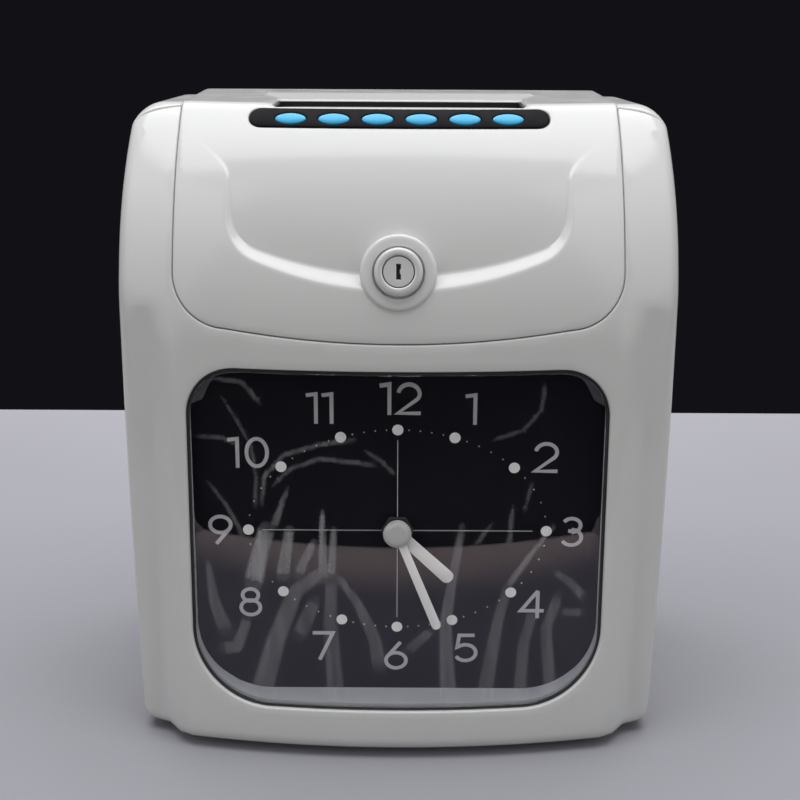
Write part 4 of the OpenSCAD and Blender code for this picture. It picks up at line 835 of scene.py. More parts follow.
class Repeater:
    """Geometry nodes that set one small shape at every point of a mesh."""

    class Shape(Enum):
        """The shapes that repeat on the clock, each by the name of its method."""

        PRINTED_DOT = "printed_dot"
        CROSS_SCREW = "cross_screw"
        RUBBER_FOOT = "rubber_foot"

    KINDS = {"Radius": "Float", "Depth": "Float", "Turn": "Rotation", "Material": "Material"}

    def __init__(self, shape: Repeater.Shape) -> None:
        """Build the tree of one shape, with named inputs for its sizes.

        Args:
            shape: The shape.
        """
        self.tree = bpy.data.node_groups.new(shape.value, "GeometryNodeTree")
        net = NodeTree(self.tree)
        net.socket("Geometry", "Geometry")
        self.inputs = {name: net.socket(name, kind) for name, kind in self.KINDS.items()}
        net.socket("Geometry", "Geometry", "OUTPUT")
        source = net.add("NodeGroupInput").outputs
        one = getattr(self, shape.value)(net, source["Radius"], source["Depth"])
        size = net.add("GeometryNodeInputNamedAttribute", {"Name": "size"}, data_type="FLOAT").outputs[0]
        copies = {"Points": source["Geometry"], "Instance": one, "Rotation": source["Turn"], "Scale": size}
        spread = net.add("GeometryNodeInstanceOnPoints", copies)
        whole = net.add("GeometryNodeRealizeInstances", {0: spread.outputs[0]}).outputs[0]
        dressed = net.add("GeometryNodeSetMaterial", {"Geometry": whole, "Material": source["Material"]})
        net.add("NodeGroupOutput", {0: dressed.outputs[0]})

    @staticmethod
    def printed_dot(net: NodeTree, radius: Socket, depth: Socket) -> Socket:
        """A flat disc of print."""
        disc = net.add("GeometryNodeMeshCylinder", {"Vertices": 28, "Radius": radius, "Depth": depth})
        return disc.outputs["Mesh"]

    @staticmethod
    def rubber_foot(net: NodeTree, radius: Socket, depth: Socket) -> Socket:
        """A puck that narrows to the floor."""
        rings = {"Vertices": 48, "Side Segments": 4, "Fill Segments": 3}
        sizes = {"Radius Top": radius, "Radius Bottom": net.math("MULTIPLY", radius, 0.9), "Depth": depth}
        return net.add("GeometryNodeMeshCone", {**rings, **sizes}).outputs["Mesh"]

    @staticmethod
    def cross_screw(net: NodeTree, radius: Socket, depth: Socket) -> Socket:
        """A pan head with a cross recess.

        Args:
            net: The tree.
            radius: Radius of the head.
            depth: Its height.
        Returns:
            The socket of the head.
        """
        upper, reach, narrow = (net.math("MULTIPLY", radius, share) for share in (0.8, 1.2, 0.28))
        sizes = {"Vertices": 40, "Radius Top": upper, "Radius Bottom": radius, "Depth": depth}
        head = net.add("GeometryNodeMeshCone", sizes).outputs["Mesh"]
        cut = net.add("GeometryNodeMeshBoolean", {0: head}, operation="DIFFERENCE")
        lift = net.add("ShaderNodeCombineXYZ", {2: depth}).outputs[0]
        for first, second in ((reach, narrow), (narrow, reach)):
            extent = net.add("ShaderNodeCombineXYZ", {0: first, 1: second, 2: depth}).outputs[0]
            bar = net.add("GeometryNodeMeshCube", {"Size": extent}).outputs["Mesh"]
            raised = net.add("GeometryNodeTransform", {"Geometry": bar, "Translation": lift}).outputs[0]
            net.tree.links.new(raised, cut.inputs[1])
        return cut.outputs[0]

    def make(
        self, name: str, places: Sequence[Sequence[float]], sizes: Sequence[float],
        radius: float, depth: float, tip: float, finish: Finish,
    ) -> Object:
        """Set the shape at every place.

        Args:
            name: Name of the piece.
            places: Middle of each copy, in millimetres.
            sizes: Scale of each copy.
            radius: Radius of the shape, in millimetres.
            depth: Its depth, in millimetres.
            tip: Its turn about X, in degrees.
            finish: Its finish.
        Returns:
            The plain mesh that results, as an object.
        """
        mesh = bpy.data.meshes.new(name + "_places")
        mesh.from_pydata((np.array(places) * MM).tolist(), [], [])
        mesh.attributes.new("size", "FLOAT", "POINT").data.foreach_set("value", list(sizes))
        holder = link(name + "_places", mesh)
        rule = holder.modifiers.new("copies", "NODES")
        rule.node_group = self.tree
        values = (radius * MM, depth * MM, (math.radians(tip), 0.0, 0.0), finish.build())
        for key, value in zip(self.KINDS, values):
            rule[self.inputs[key]] = value
        ready = holder.evaluated_get(bpy.context.evaluated_depsgraph_get())
        result = bpy.data.meshes.new_from_object(ready)
        result.name = name
        soften(result, SHARP)
        bpy.data.objects.remove(holder)
        return link(name, result)


# The case


@dataclass(frozen=True)
class CaseForm:
    """Outer form of the case by the rules that shape it, in millimetres."""

    width: float = 193.0
    depth: float = 136.0
    height: float = 228.8
    foot_width: float = 190.0
    foot_rise: float = 3.0
    wall: float = 2.6
    waist_drop: float = 53.8
    side_bow: float = 0.8
    side_radius: float = 600.0
    corner_radius: float = 12.0
    corner_start: float = 20.0
    base_radius: float = 5.6
    back_radius: float = 22.0
    split_setback: float = 10.0
    seam: float = 0.4
    swell_radius: float = 353.0
    panel_half: float = 76.4
    band_run: float = 10.5
    band_step: float = 8.4
    band_rise: float = 15.0
    lean: float = 1.87
    lid_rise: float = 78.8
    lid_radius: float = 110.0
    lid_half: float = 76.6
    lid_lift: float = 2.4
    lid_corner: float = 18.0
    lid_edge_radius: float = 418.0
    lid_hump: float = 2.4
    lid_rear: float = 44.4
    window_half: float = 73.2
    window_low: float = 18.8
    window_bar: float = 9.9
    window_r_low: float = 28.0
    window_r_top: float = 17.5

    @property
    def front(self) -> float:
        """Front of the foot, at the middle."""
        return -self.depth / 2

    @property
    def back(self) -> float:
        """Plane of the back."""
        return self.depth / 2

    @property
    def axis(self) -> float:
        """Far axis that the swelled front turns about."""
        return self.front + self.swell_radius

    @property
    def arc_low(self) -> float:
        """Height where the curved upper front starts."""
        return self.height - self.lid_rise

    @property
    def arc_centre(self) -> Pair:
        """Middle of the upper front's arc in the side view."""
        lean = math.radians(self.lean)
        start = self.front + (self.arc_low - self.foot_rise) * math.tan(lean)
        return start + self.lid_radius * math.cos(lean), self.arc_low - self.lid_radius * math.sin(lean)

    @property
    def crease_angle(self) -> float:
        """Angle on the arc, in radians, where the top begins."""
        return math.asin((self.height - self.arc_centre[1]) / self.lid_radius)

    @property
    def crease(self) -> float:
        """Depth of the line between front and top, at the middle."""
        return self.arc_centre[0] - self.lid_radius * math.cos(self.crease_angle)

    @property
    def split(self) -> float:
        """Plane between the front and rear mouldings."""
        return self.crease + self.split_setback

    @property
    def window_top(self) -> float:
        """Upper edge of the window."""
        return self.arc_low + self.lid_lift - self.window_bar

    def profile(self, z: Any) -> Any:
        """Side view of the front at the middle: the depth at a height."""
        cy, cz = self.arc_centre
        straight = self.front + (z - self.foot_rise) * math.tan(math.radians(self.lean))
        rise = np.clip(z - cz, 0, 0.9999 * self.lid_radius)
        return np.where(z < self.arc_low, straight, cy - np.sqrt(self.lid_radius**2 - rise**2))

    def swelled(self, depth: Any, x: Any) -> Any:
        """Depth at x of a line that is at a given depth in the middle."""
        arm = self.axis - depth
        return self.axis - np.sqrt(np.maximum(arm**2 - np.square(x), 1.0))

    def set_back(self, at: Points, depth: Any) -> Points:
        """Points of the front view, set so far behind the front without its bands."""
        return stood(at, self.swelled(self.profile(at[:, 1]) + depth, at[:, 0]))

    def front_at(self, at: Points) -> Points:
        """Set points on the front surface, with its stepped side bands.

        Args:
            at: Points of the front view.
        Returns:
            Points of the surface.
        """
        x, z = at.T
        middle = self.profile(z)
        meet = self.arc_low + self.band_rise
        share = np.clip((z - self.foot_rise) / (meet - self.foot_rise), 0, 1)
        straight = self.front + self.band_step
        band = straight + (self.profile(meet) - straight) * share
        band = np.where(z < meet, np.maximum(band, middle), middle)
        step = smooth((np.abs(x) - self.panel_half) / self.band_run)
        return stood(at, self.swelled(middle + (band - middle) * step, x))

    def side(self, z: Any) -> Any:
        """Front view of the sides.

        Args:
            z: Heights.
        Returns:
            The half width at each height.
        """
        waist = self.height - self.waist_drop
        half, foot = self.width / 2, self.foot_width / 2
        t = (z - self.foot_rise) / (waist - self.foot_rise)
        low = foot + (half - foot) * t + 4 * self.side_bow * t * (1 - t)
        rise = np.clip(z - waist, 0, self.side_radius)
        return np.where(z <= waist, low, half - self.side_radius + np.sqrt(self.side_radius**2 - rise**2))

    def outline(self, top: float, gap: float) -> Points:
        """Front view outline from the left end of the lid's gap, round the foot, to its right end.

        Args:
            top: Height of the outline's top.
            gap: Half width of the gap in its top.
        Returns:
            Points of the open line, counted the same for every height.
        """
        base, corner = self.base_radius, self.corner_radius
        low, start = self.foot_rise + base, math.radians(self.corner_start)
        shoulder = top - corner + corner * math.sin(start)
        heights = np.linspace(low, shoulder, 44)[1:-1]
        foot_x = float(self.side(low)) - base
        corner_x = float(self.side(shoulder)) - corner * math.cos(start)
        half = [
            line(0, self.foot_rise, foot_x, self.foot_rise, 18),
            arc(foot_x, low, base, -90, 0, 8),
            np.column_stack([self.side(heights), heights]),
            arc(corner_x, top - corner, corner, self.corner_start, 90, 12),
            [[gap, top]],
        ]
        return mirrored(np.vstack(half))

    def lid_outline(self, grow: float, top: float) -> Points:
        """Lid's outline in the front view from its left side, round its lower edge, to its right side.

        Args:
            grow: How much larger than the lid it is.
            top: Height of its ends.
        Returns:
            Points of the open line.
        """
        half = self.lid_half + grow
        cx = self.lid_half - self.lid_corner
        low = self.arc_low + self.lid_lift
        xs = np.linspace(0, cx * 0.97, 34)
        edge = np.column_stack([xs, low - grow + xs**2 / (2 * self.lid_edge_radius)])
        cz = low + cx**2 / (2 * self.lid_edge_radius) + self.lid_corner
        corner = arc(cx, cz, self.lid_corner + grow, -81, 0, 16)
        side = line(half, cz, half, top, 36)[1:]
        return mirrored(np.vstack([edge, corner, side, [[half, top]]]))

    def window(self, grow: float) -> Points:
        """Outline of the window.

        Args:
            grow: How much larger than the window it is.
        Returns:
            Points of the closed line.
        """
        low, top = self.window_low, self.window_top
        half, r0, r1 = self.window_half, self.window_r_low, self.window_r_top
        right = np.vstack(
            [
                line(0, low - grow, half - r0, low - grow, 30),
                arc(half - r0, low + r0, r0 + grow, -90, 0, 22),
                line(half + grow, low + r0, half + grow, top - r1, 48)[1:],
                arc(half - r1, top - r1, r1 + grow, 0, 90, 16),
                line(half - r1, top + grow, 0, top + grow, 34)[1:],
                [[0, top + grow]],
            ]
        )
        return np.vstack([right, (right * [-1, 1])[-2:0:-1]])

    def lid_top(self, y: Any) -> Any:
        """Height of the lid's top at a depth."""
        return self.height + self.lid_hump * (y - self.crease) / (self.lid_rear - self.crease)


@dataclass(frozen=True)
class Hinge:
    """Where the lid turns: knuckles of the lid between lugs of the case."""

    y: float = 47.0
    z: float = 228.4
    radius: float = 2.2
    knuckle_x: float = 58.0
    knuckle_w: float = 14.0
    lug_w: float = 6.0
    gap: float = 0.3

    def lugs(self) -> Skin:
        """Lugs that stand on the case on both sides of each knuckle.

        Returns:
            The four lugs.
        """
        y, z = self.y, self.z
        round_top = arc(y, z, self.radius, 0, 180, 14)
        shape = np.vstack([[[y + 3.0, z - 6.0], [y + 3.0, z - 0.6]], round_top, [[y - 2.05, z - 6.0]]])
        away = (self.knuckle_w + self.lug_w) / 2 + self.gap
        places = [s * self.knuckle_x + t * away for s in (-1, 1) for t in (-1, 1)]
        return joined(prism(shape, x, self.lug_w, 0.9) for x in places)

    def knuckles(self, root: float) -> Skin:
        """Both knuckles at the lid's rear edge, from a depth at which they start in the lid."""
        round_end = arc(self.y, self.z, self.radius, -150, 88, 20)
        shape = np.vstack([round_end, [[root, self.z + 2.05], [root, self.z + 0.3]]])
        return joined(prism(shape, s * self.knuckle_x, self.knuckle_w, 0.92) for s in (-1, 1))


@dataclass
class CaseShells:
    """Front and rear mouldings of the case, made as one sheet and split."""

    form: CaseForm
    hinge: Hinge
    edge: float = 5.0
    back_edge: float = 3.0
    roll: float = 0.6
    window_roll: float = 0.9
    spacing: float = 2.6
    back_spacing: float = 5.0
    keyhole: Pair = (60.0, 142.0)
    keyhole_r: float = 4.5
    keyhole_slot: float = 9.0
    vent_count: int = 4
    vent_pitch: float = 7.0
    vent_size: Pair = (44.0, 3.0)
    vent_top: float = 190.8
    well_heights: Pair = (16.2, 198.8)
    well_inset: float = 8.7
    well_r: float = 3.2
    post_r: float = 4.6
    post_bore: float = 1.6
    jack_r: float = 5.7
    screw_head: Pair = (2.8, 1.8)
    foot_r: float = 8.0

    @property
    def gap(self) -> float:
        """Half width of the lid's gap."""
        return self.form.lid_half + self.form.seam + self.roll

    @property
    def gap_rear(self) -> float:
        """Depth of the rear edge of the lid's gap."""
        return self.form.lid_rear + self.form.seam + self.roll

    def front_region(self) -> tuple[Region, int]:
        """Fill the front view between the outline, the lid and the window.

        Returns:
            The region, and how many points of its outer loop lie on the case's outline.
        """
        form = self.form
        chain = self.inset(form.outline(form.height, self.gap), self.edge)
        lid = form.lid_outline(form.seam + self.roll, form.height - self.edge)[::-1]
        outer = np.vstack([chain, lid[1:-1]])
        steps = np.linspace(form.panel_half - 1.0, form.panel_half + form.band_run + 1.5, 10)
        heights = np.arange(form.foot_rise + 6, form.arc_low + form.band_rise, 3.0)
        ridge = np.array([[s * x, z] for s in (-1, 1) for x in steps for z in heights])
        return Region.fill([outer, form.window(self.window_roll)], self.spacing, ridge), len(chain)

    @staticmethod
    def inset(chain: Points, amount: float, keep_top: bool = False) -> Points:
        """Move an open outline inwards; its ends keep their place along the top.

        Args:
            chain: The outline.
            amount: How far it moves.
            keep_top: Whether its top keeps its height.
        Returns:
            The moved outline.
        """
        ahead = np.gradient(chain, axis=0)
        ahead[0], ahead[-1] = (-1.0, 0.0), (-1.0, 0.0)
        inward = left_of(ahead)
        if keep_top:
            inward[:, 1] = np.maximum(inward[:, 1], 0)
        return chain + inward * amount

    def sheet(self) -> Skin:
        """Make the whole case as one sheet.

        Returns:
            The open sheet, with the lid's gap, the window and the holes of the back.
        """
        form, rear = self.form, self.gap_rear
        region, count = self.front_region()
        work = Sewing(Skin(form.front_at(region.points), region.faces))
        last = region.loops[0][:count]
        start = form.front_at(region.points[last])
        chain = form.outline(form.height, self.gap)
        corner = form.front_at(chain)
        end_y = np.minimum(corner[:, 1] + self.edge, rear - 1)
        for t in np.linspace(0, 1, 9)[1:]:
            last = work.row(last, bow(start, corner, stood(chain, end_y), t), False)
        for t in np.linspace(0, 1, 22)[1:]:
            last = work.row(last, stood(chain, end_y + (rear - end_y) * t), False)
        self.close_behind(work, last)
        return work.skin()

    def close_behind(self, work: Sewing, last: list[int]) -> None:
        """Add the rear of the case: the top behind the lid, its round edge and the back panel.

        Args:
            work: The sheet so far.
            last: Indices of the last row of the open outline.
        """
        form = self.form
        across = np.linspace(self.gap, -self.gap, 40)[1:-1]
        behind = np.column_stack([across, np.full(len(across), form.height)])
        ring = last + work.add(stood(behind, self.gap_rear))
        angles = np.concatenate([np.linspace(0, 60, 13), np.linspace(60, 90, 11)[1:]])
        for angle in np.radians(angles):
            y = form.back - form.back_radius * (1 - math.sin(angle))
            top = form.height - form.back_radius * (1 - math.cos(angle))
            past = max(0.0, y - form.back + self.back_edge)
            amount = self.back_edge - math.sqrt(max(0.0, self.back_edge**2 - past**2))
            chain = self.inset(form.outline(top, self.gap), amount, keep_top=True)
            behind[:, 1] = top
            outer = np.vstack([chain, behind])
            ring = work.row(ring, stood(outer, y))
        region = Region.fill([outer, *self.back_holes()], self.back_spacing)
        ids = work.add(stood(region.points, form.back))
        weld = dict(zip(region.loops[0], ring))
        work.faces += [tuple(weld.get(i, ids[i]) for i in reversed(face)) for face in region.faces]

    def wells(self) -> list[Pair]:
        """Places of the screw wells in the back."""
        side = self.form.side
        return [(s * (float(side(z)) - self.well_inset), z) for z in self.well_heights for s in (-1, 1)]

    def back_holes(self) -> list[Points]:
        """Outlines of the holes in the back.

        Returns:
            Closed lines, larger than the holes by the roll of their edges.
        """
        grow = self.roll
        half, r = self.keyhole_r / 2 + grow, self.keyhole_r + grow
        opening = math.degrees(math.acos(half / r))
        x, z = self.keyhole
        holes = []
        for cx in (-x, x):
            round_part = arc(cx, z, r, 180 - opening, 360 + opening, 26)
            holes.append(np.vstack([round_part, arc(cx, z + self.keyhole_slot, half, 0, 180, 10)]))
        vent = stadium(self.vent_size, grow)
        holes += [vent + [0.0, self.vent_top - i * self.vent_pitch] for i in range(self.vent_count)]
        holes += [circle(x, z, self.well_r + grow, 24) for x, z in self.wells()]
        jack = np.mean(box_mm("power_jack"), axis=0)
        return [*holes, circle(jack[0], jack[2], self.jack_r + grow, 28)]

    @staticmethod
    def cut(skin: Skin, plane: float, keep_front: bool) -> Skin:
        """Cut a sheet by a plane across the depth.

        Args:
            skin: The sheet.
            plane: Depth of the plane.
            keep_front: Whether the part before the plane is kept.
        Returns:
            The part that is kept.
        """
        mesh = bpy.data.meshes.new("cut")
        mesh.from_pydata(skin.points.tolist(), [], skin.faces)
        work = bmesh.new()
        work.from_mesh(mesh)
        bmesh.ops.remove_doubles(work, verts=work.verts, dist=1e-5)
        everything = [*work.verts, *work.edges, *work.faces]
        bmesh.ops.bisect_plane(
            work, geom=everything, plane_co=(0, plane, 0), plane_no=(0, 1, 0),
            clear_outer=keep_front, clear_inner=not keep_front,
        )
        bmesh.ops.delete(work, geom=[v for v in work.verts if not v.link_faces], context="VERTS")
        bmesh.ops.triangulate(work, faces=[f for f in work.faces if len(f.verts) > 4])
        work.verts.index_update()
        points = np.array([v.co for v in work.verts])
        faces = [tuple(v.index for v in f.verts) for f in work.faces]
        work.free()
        bpy.data.meshes.remove(mesh)
        return Skin(points, faces)

    def posts(self) -> Skin:
        """Tubes of the screw wells.

        Returns:
            The four tubes, open at the back.
        """
        low, top = self.form.split + 4.2, self.form.back - 0.5
        seat = low + 1.6
        post, well, bore = self.post_r, self.well_r, self.post_bore
        profile = [(post, low), (post, top - 1.5), (well, top), (well, seat), (bore, seat), (bore, low)]
        tube = lathe(profile, 32, wrap=True).placed(turned(-90, "X"))
        return joined(tube.placed(Matrix.Translation((x, 0, z))) for x, z in self.wells())

    def build(self) -> None:
        """Make both mouldings and fix them to the case."""
        form = self.form
        whole = self.sheet()
        away = form.seam / 2 + self.roll
        front = self.cut(whole, form.split - away, True).thickened(form.wall, self.roll)
        add_piece("front_moulding", front, Finishes.CASE, "case", "front_case")
        rear = self.cut(whole, form.split + away, False).thickened(form.wall, self.roll)
        rear = rear + self.posts() + self.hinge.lugs()
        add_piece("rear_moulding", rear, Finishes.CASE, "case", "rear_case")

    def build_fittings(self) -> None:
        """Make the screws in the wells and the feet."""
        radius, tall = self.screw_head
        y = box_mm("case_screws")[1][1] - tall / 2
        places = [[x, y, z] for x, z in self.wells()]
        screws = Repeater(Repeater.Shape.CROSS_SCREW).make(
            "case_screw_heads", places, [1.0] * len(places), radius, tall, -90, Finishes.STEEL
        )
        place_piece(screws, "case", Finishes.STEEL.slot, "case_screws")
        low, high = box_mm("feet")
        xs, ys = zip(low[:2] + self.foot_r, high[:2] - self.foot_r)
        places = [[x, y, 0.0] for x in xs for y in ys]
        feet = Repeater(Repeater.Shape.RUBBER_FOOT).make(
            "rubber_feet", places, [1.0] * len(places), self.foot_r, high[2] - low[2], 0, Finishes.RUBBER
        )
        place_piece(feet, "case", Finishes.RUBBER.slot, "feet")


# The lid


@dataclass
class LidShell:
    """The hinged lid: scooped front, key strip opening, lock collar, card slot and ramp."""

    form: CaseForm
    hinge: Hinge
    roll: float = 0.6
    spacing: float = 2.2
    crease_round: float = 7.0
    rear_corner: float = 2.0
    scoop_low: float = 170.0
    scoop_high: float = 219.0
    scoop_depth: float = 4.9
    scoop_half: float = 58.5
    scoop_radius: float = 135.0
    scoop_corner: float = 15.0
    scoop_flare: float = 14.0
    scoop_fade: float = 1.55
    lip_rows: tuple[Pair, ...] = (
        (0, -1.3), (0, -0.35), (0.07, 0), (0.28, 0), (0.5, 0), (0.72, 0), (0.93, 0), (1, 0.35), (1, 1.3),
    )
    lip_run: float = 4.8
    lip_least: float = 1.0
    strip_size: Pair = (104.4, 8.6)
    strip_drop: float = 3.35
    lock_angle: float = 15.6045
    lock_z: float = 176.0
    lock_hole: float = 9.6
    collar_r: float = 12.9
    slot_half: float = 44.0
    slot_span: Pair = (4.5, 24.5)
    rim_drop: float = 1.2
    ramp_length: float = 18.0
    ramp_fall: float = 0.6
    ramp_rise: float = 0.8
    ramp_splay: float = 6.0
    throat_depth: float = 9.0
    throat_wall: float = 0.8
    throat_fit: float = 0.1
    throat_low: float = 0.45

    def __post_init__(self) -> None:
        """Work out the side profile, with its crease rounded, along its length."""
        form = self.form
        cy, cz = form.arc_centre
        angles = np.linspace(math.radians(form.lean) - 0.02, form.crease_angle, 160)
        front = [cy, cz] + form.lid_radius * np.column_stack([-np.cos(angles), np.sin(angles)])
        ys = np.linspace(form.crease, form.lid_rear, 120)
        top = np.column_stack([ys, form.lid_top(ys)])
        rise = math.atan2(form.lid_hump, form.lid_rear - form.crease)
        cut = self.crease_round * math.tan((math.pi / 2 - form.crease_angle - rise) / 2)
        front = front[form.lid_radius * (form.crease_angle - angles) > cut]
        top = top[ys - form.crease > cut]
        t = np.linspace(0, 1, 14)[1:-1, None]
        corner = bow(front[-1], np.array([form.crease, form.height]), top[0], t)
        self.path = np.vstack([front, corner, top])
        self.run = run_along(self.path)
        self.crease_s = float(self.run[len(front) - 1] + self.run[-len(top)]) / 2
        self.length = float(self.run[-1])

    @property
    def slot_ends(self) -> Pair:
        """Depths of the card slot's front and rear edges."""
        return self.form.crease + self.slot_span[0], self.form.crease + self.slot_span[1]

    def s_of_z(self, z: Any) -> Any:
        """Distance along the profile at a height on the front."""
        front = self.run < self.crease_s + 1e-6
        return np.interp(z, self.path[front, 1], self.run[front])

    def s_of_y(self, x: Any, y: Any) -> Any:
        """Distance along the profile at a depth on the top."""
        crease = self.form.swelled(self.form.crease, x)
        share = (y - crease) / (self.form.lid_rear - crease)
        return self.crease_s + share * (self.length - self.crease_s)

    def base(self, x: Points, s: Points) -> Points:
        """Set points on the lid without its scoop and ramp.

        Args:
            x: Places across the lid.
            s: Distances along its profile.
        Returns:
            Points of the surface.
        """
        form = self.form
        y, z = (np.interp(s, self.run, column) for column in self.path.T)
        share = np.clip((s - self.crease_s) / (self.length - self.crease_s), 0, 1)
        swell = form.swelled(np.minimum(y, form.crease), x) - np.minimum(y, form.crease)
        shift = swell * (1 - share)
        slope = form.lid_hump / (form.lid_rear - form.crease)
        lift = smooth((s - self.crease_s + 3) / 6) * slope * shift
        return np.column_stack([x, y + shift, z + lift])

    def scoop_outline(self) -> Points:
        """Front view outline of the scoop.

        Returns:
            The line, open at its top.
        """
        r, c = self.scoop_radius, self.scoop_corner
        cx = self.scoop_half - c
        cz = self.scoop_low + r - math.sqrt((r - c) ** 2 - cx**2)
        turn = math.degrees(math.asin(cx / (r - c))) - 90
        lower = arc(0, self.scoop_low + r, r, -90, turn, 26)
        corner = arc(cx, cz, c, turn, 0, 16)[1:]
        zs = np.linspace(cz, self.scoop_high + 2, 24)[1:]
        flare = smooth((zs - (self.scoop_high - 14)) / 17) * self.scoop_flare
        return mirrored(np.vstack([lower, corner, np.column_stack([self.scoop_half + flare, zs])]))

    def floor(self, z: Points) -> tuple[Points, Points]:
        """Depth of the scoop's floor at a height, and how wide the lip down to it is."""
        left = np.clip((self.scoop_high - z) / (self.scoop_high - self.scoop_low), 0, 1.2) ** self.scoop_fade
        return self.scoop_depth * left, np.maximum(self.lip_run * left, self.lip_least)

    def scoop(self, x: Points, z: Points, more: float) -> Points:
        """Measure the scoop below the lid's front.

        Args:
            x: Places across the lid.
            z: Heights.
            more: How much wider its lip is made.
        Returns:
            The depth at each point.
        """
        edge = self.scoop_outline()
        over = self.form.height + 11.2
        closed = np.vstack([edge, [[edge[-1, 0], over], [edge[0, 0], over]]])
        at = np.column_stack([x, z])
        near = np.where(inside(at, [closed]), distance(at, edge, False), 0.0)
        depth, lip = self.floor(z)
        t = np.clip(near / (lip + more), 0, 1)
        return depth * (0.8 * t + 0.2 * smooth(t))

    def ramp(self, x: Points, y: Points) -> Points:
        """Measure the card slot's rim and the ramp behind it.

        Args:
            x: Places across the lid.
            y: Depths.
        Returns:
            How far the top is lowered at each point.
        """
        start = self.slot_ends[1]
        t = (y - start) / self.ramp_length
        half = self.slot_half + self.ramp_splay * np.clip(t, 0, 1)
        side = smooth((half + 1.2 - np.abs(x)) / 2.4)
        front = smooth((y - start + 2.0) / 2.0)
        end = (self.form.lid_rear - start) / self.ramp_length
        ramp = np.interp(t, [0, 1, end], [self.ramp_fall, -self.ramp_rise, 0]) * front
        rim = self.rim_drop * (1 - smooth((y - start + 14) / 6))
        return (ramp + rim) * side

    def lifted(self, x: Points, s: Points, depth: float = 0.0) -> Points:
        """Set points on the lid's surface, or on its inner face.

        Args:
            x: Places across the lid.
            s: Distances along its profile.
            depth: The wall, for the inner face.
        Returns:
            Points of the surface.
        """
        points = self.base(x, s)
        on_front = s < self.crease_s
        points[:, 1] += np.where(on_front, self.scoop(x, points[:, 2], 3.0 if depth else 0.0), 0)
        near_crease = smooth((s - self.crease_s + 1.6) / 1.6)
        points[:, 2] -= near_crease * self.ramp(x, points[:, 1])
        if depth:
            ends = [0, self.crease_s - 8, self.crease_s + 8, self.length]
            angle = np.interp(s, ends, [0.1, 0.75, 1.5, 1.53])
            points[:, 1] += depth * np.cos(angle)
            points[:, 2] -= depth * np.sin(angle)
        return points

    def loops(self) -> list[Points]:
        """Outlines along the profile.

        Returns:
            The lid's outline, then its holes: strip, lock and card slot.
        """
        form, grow, r = self.form, self.roll, self.rear_corner
        front = form.lid_outline(-grow, form.height - 4)
        front[:, 1] = self.s_of_z(front[:, 1])
        half, end = form.lid_half - grow, self.length - grow
        outer = [
            front,
            line(half, front[-1, 1], half, end - r, 34)[1:],
            arc(half - r, end - r, r, 0, 90, 5),
            line(half - r, end, -half + r, end, 56)[1:],
            arc(-half + r, end - r, r, 90, 180, 5),
            line(-half, end - r, -half, front[0, 1], 34)[1:],
        ]
        strip = stadium(self.strip_size, grow)
        strip[:, 1] += self.s_of_z(self.strip_middle()[1])
        lock = circle(0, self.s_of_z(self.lock_z), self.lock_hole, 40)
        x, y0, y1 = self.slot_half + grow, self.slot_ends[0] - grow, self.slot_ends[1] + grow
        slot = polygon([(-x, y0), (x, y0), (x, y1), (-x, y1)], (60, 6, 60, 6))
        slot[:, 1] = self.s_of_y(slot[:, 0], slot[:, 1])
        return [np.vstack(outer), strip, lock, slot]

    def strip_middle(self) -> Pair:
        """Depth and height of the key strip's middle."""
        angle = self.form.crease_angle - math.radians(self.strip_drop)
        cy, cz = self.form.arc_centre
        return cy - self.form.lid_radius * math.cos(angle), cz + self.form.lid_radius * math.sin(angle)

    def fine_points(self) -> Points:
        """Set further points where the scoop's lip and the ramp's edges bend quickly.

        Returns:
            The points, along the profile.
        """
        edge = resampled(self.scoop_outline(), 1.1)
        inward = left_of(np.gradient(edge, axis=0))
        width = self.floor(edge[:, 1])[1][:, None]
        lip = np.vstack([edge + inward * (width * share + more) for share, more in self.lip_rows])
        lip = lip[lip[:, 1] < self.form.height - 3]
        lip[:, 1] = self.s_of_z(lip[:, 1])
        start = self.slot_ends[1]
        sides = []
        for y in np.arange(start + 1.2, start + self.ramp_length + 1.5, 1.4):
            half = self.slot_half + self.ramp_splay * (y - start) / self.ramp_length
            for away in (-1.4, -0.7, 0.0, 0.7, 1.4):
                sides += [(x, float(self.s_of_y(x, y))) for x in (-half - away, half + away)]
        return np.vstack([lip, sides])

    def lock_place(self) -> Matrix:
        """Frame of the lock, with Z out of the lid."""
        y = float(self.form.profile(self.lock_z))
        return Matrix.Translation((0, y, self.lock_z)) @ turned(90 - self.lock_angle, "X")

    def collar(self) -> Skin:
        """Raised ring round the lock, standing from the scoop's floor."""
        r = self.collar_r
        profile = [
            (7.45, -8.0), (r, -8.0), (r, -1.0), (r - 0.1, -0.35), (r - 0.4, 0.15), (r - 0.9, 0.45),
            (r - 1.6, 0.55), (9.4, 0.5), (8.95, 0.35), (8.8, 0.0), (8.8, -1.2), (7.45, -1.2),
        ]
        return lathe(profile, 96, wrap=True).placed(self.lock_place())

    def build_throat(self) -> None:
        """Make the black throat that lines the card slot and ends a little below its rim."""
        form, fit, low = self.form, self.throat_fit, self.throat_low
        y0, y1 = self.slot_ends[0] + fit, self.slot_ends[1] - fit
        front, rear = form.height - self.rim_drop - low, form.lid_top(y1) - self.ramp_fall - low
        rows = []
        deep, wall = self.throat_depth, self.throat_wall
        for inset, drop in ((0.0, deep), (0.0, 0.0), (wall, 0.0), (wall, deep)):
            a, b, x = y0 + inset, y1 - inset, self.slot_half - fit - inset
            near, far = front - drop, rear - drop
            rows.append([[-x, a, near], [x, a, near], [x, b, far], [-x, b, far]])
        add_piece("card_throat", loft(rows, wrap=True), Finishes.GUIDE, "lid")

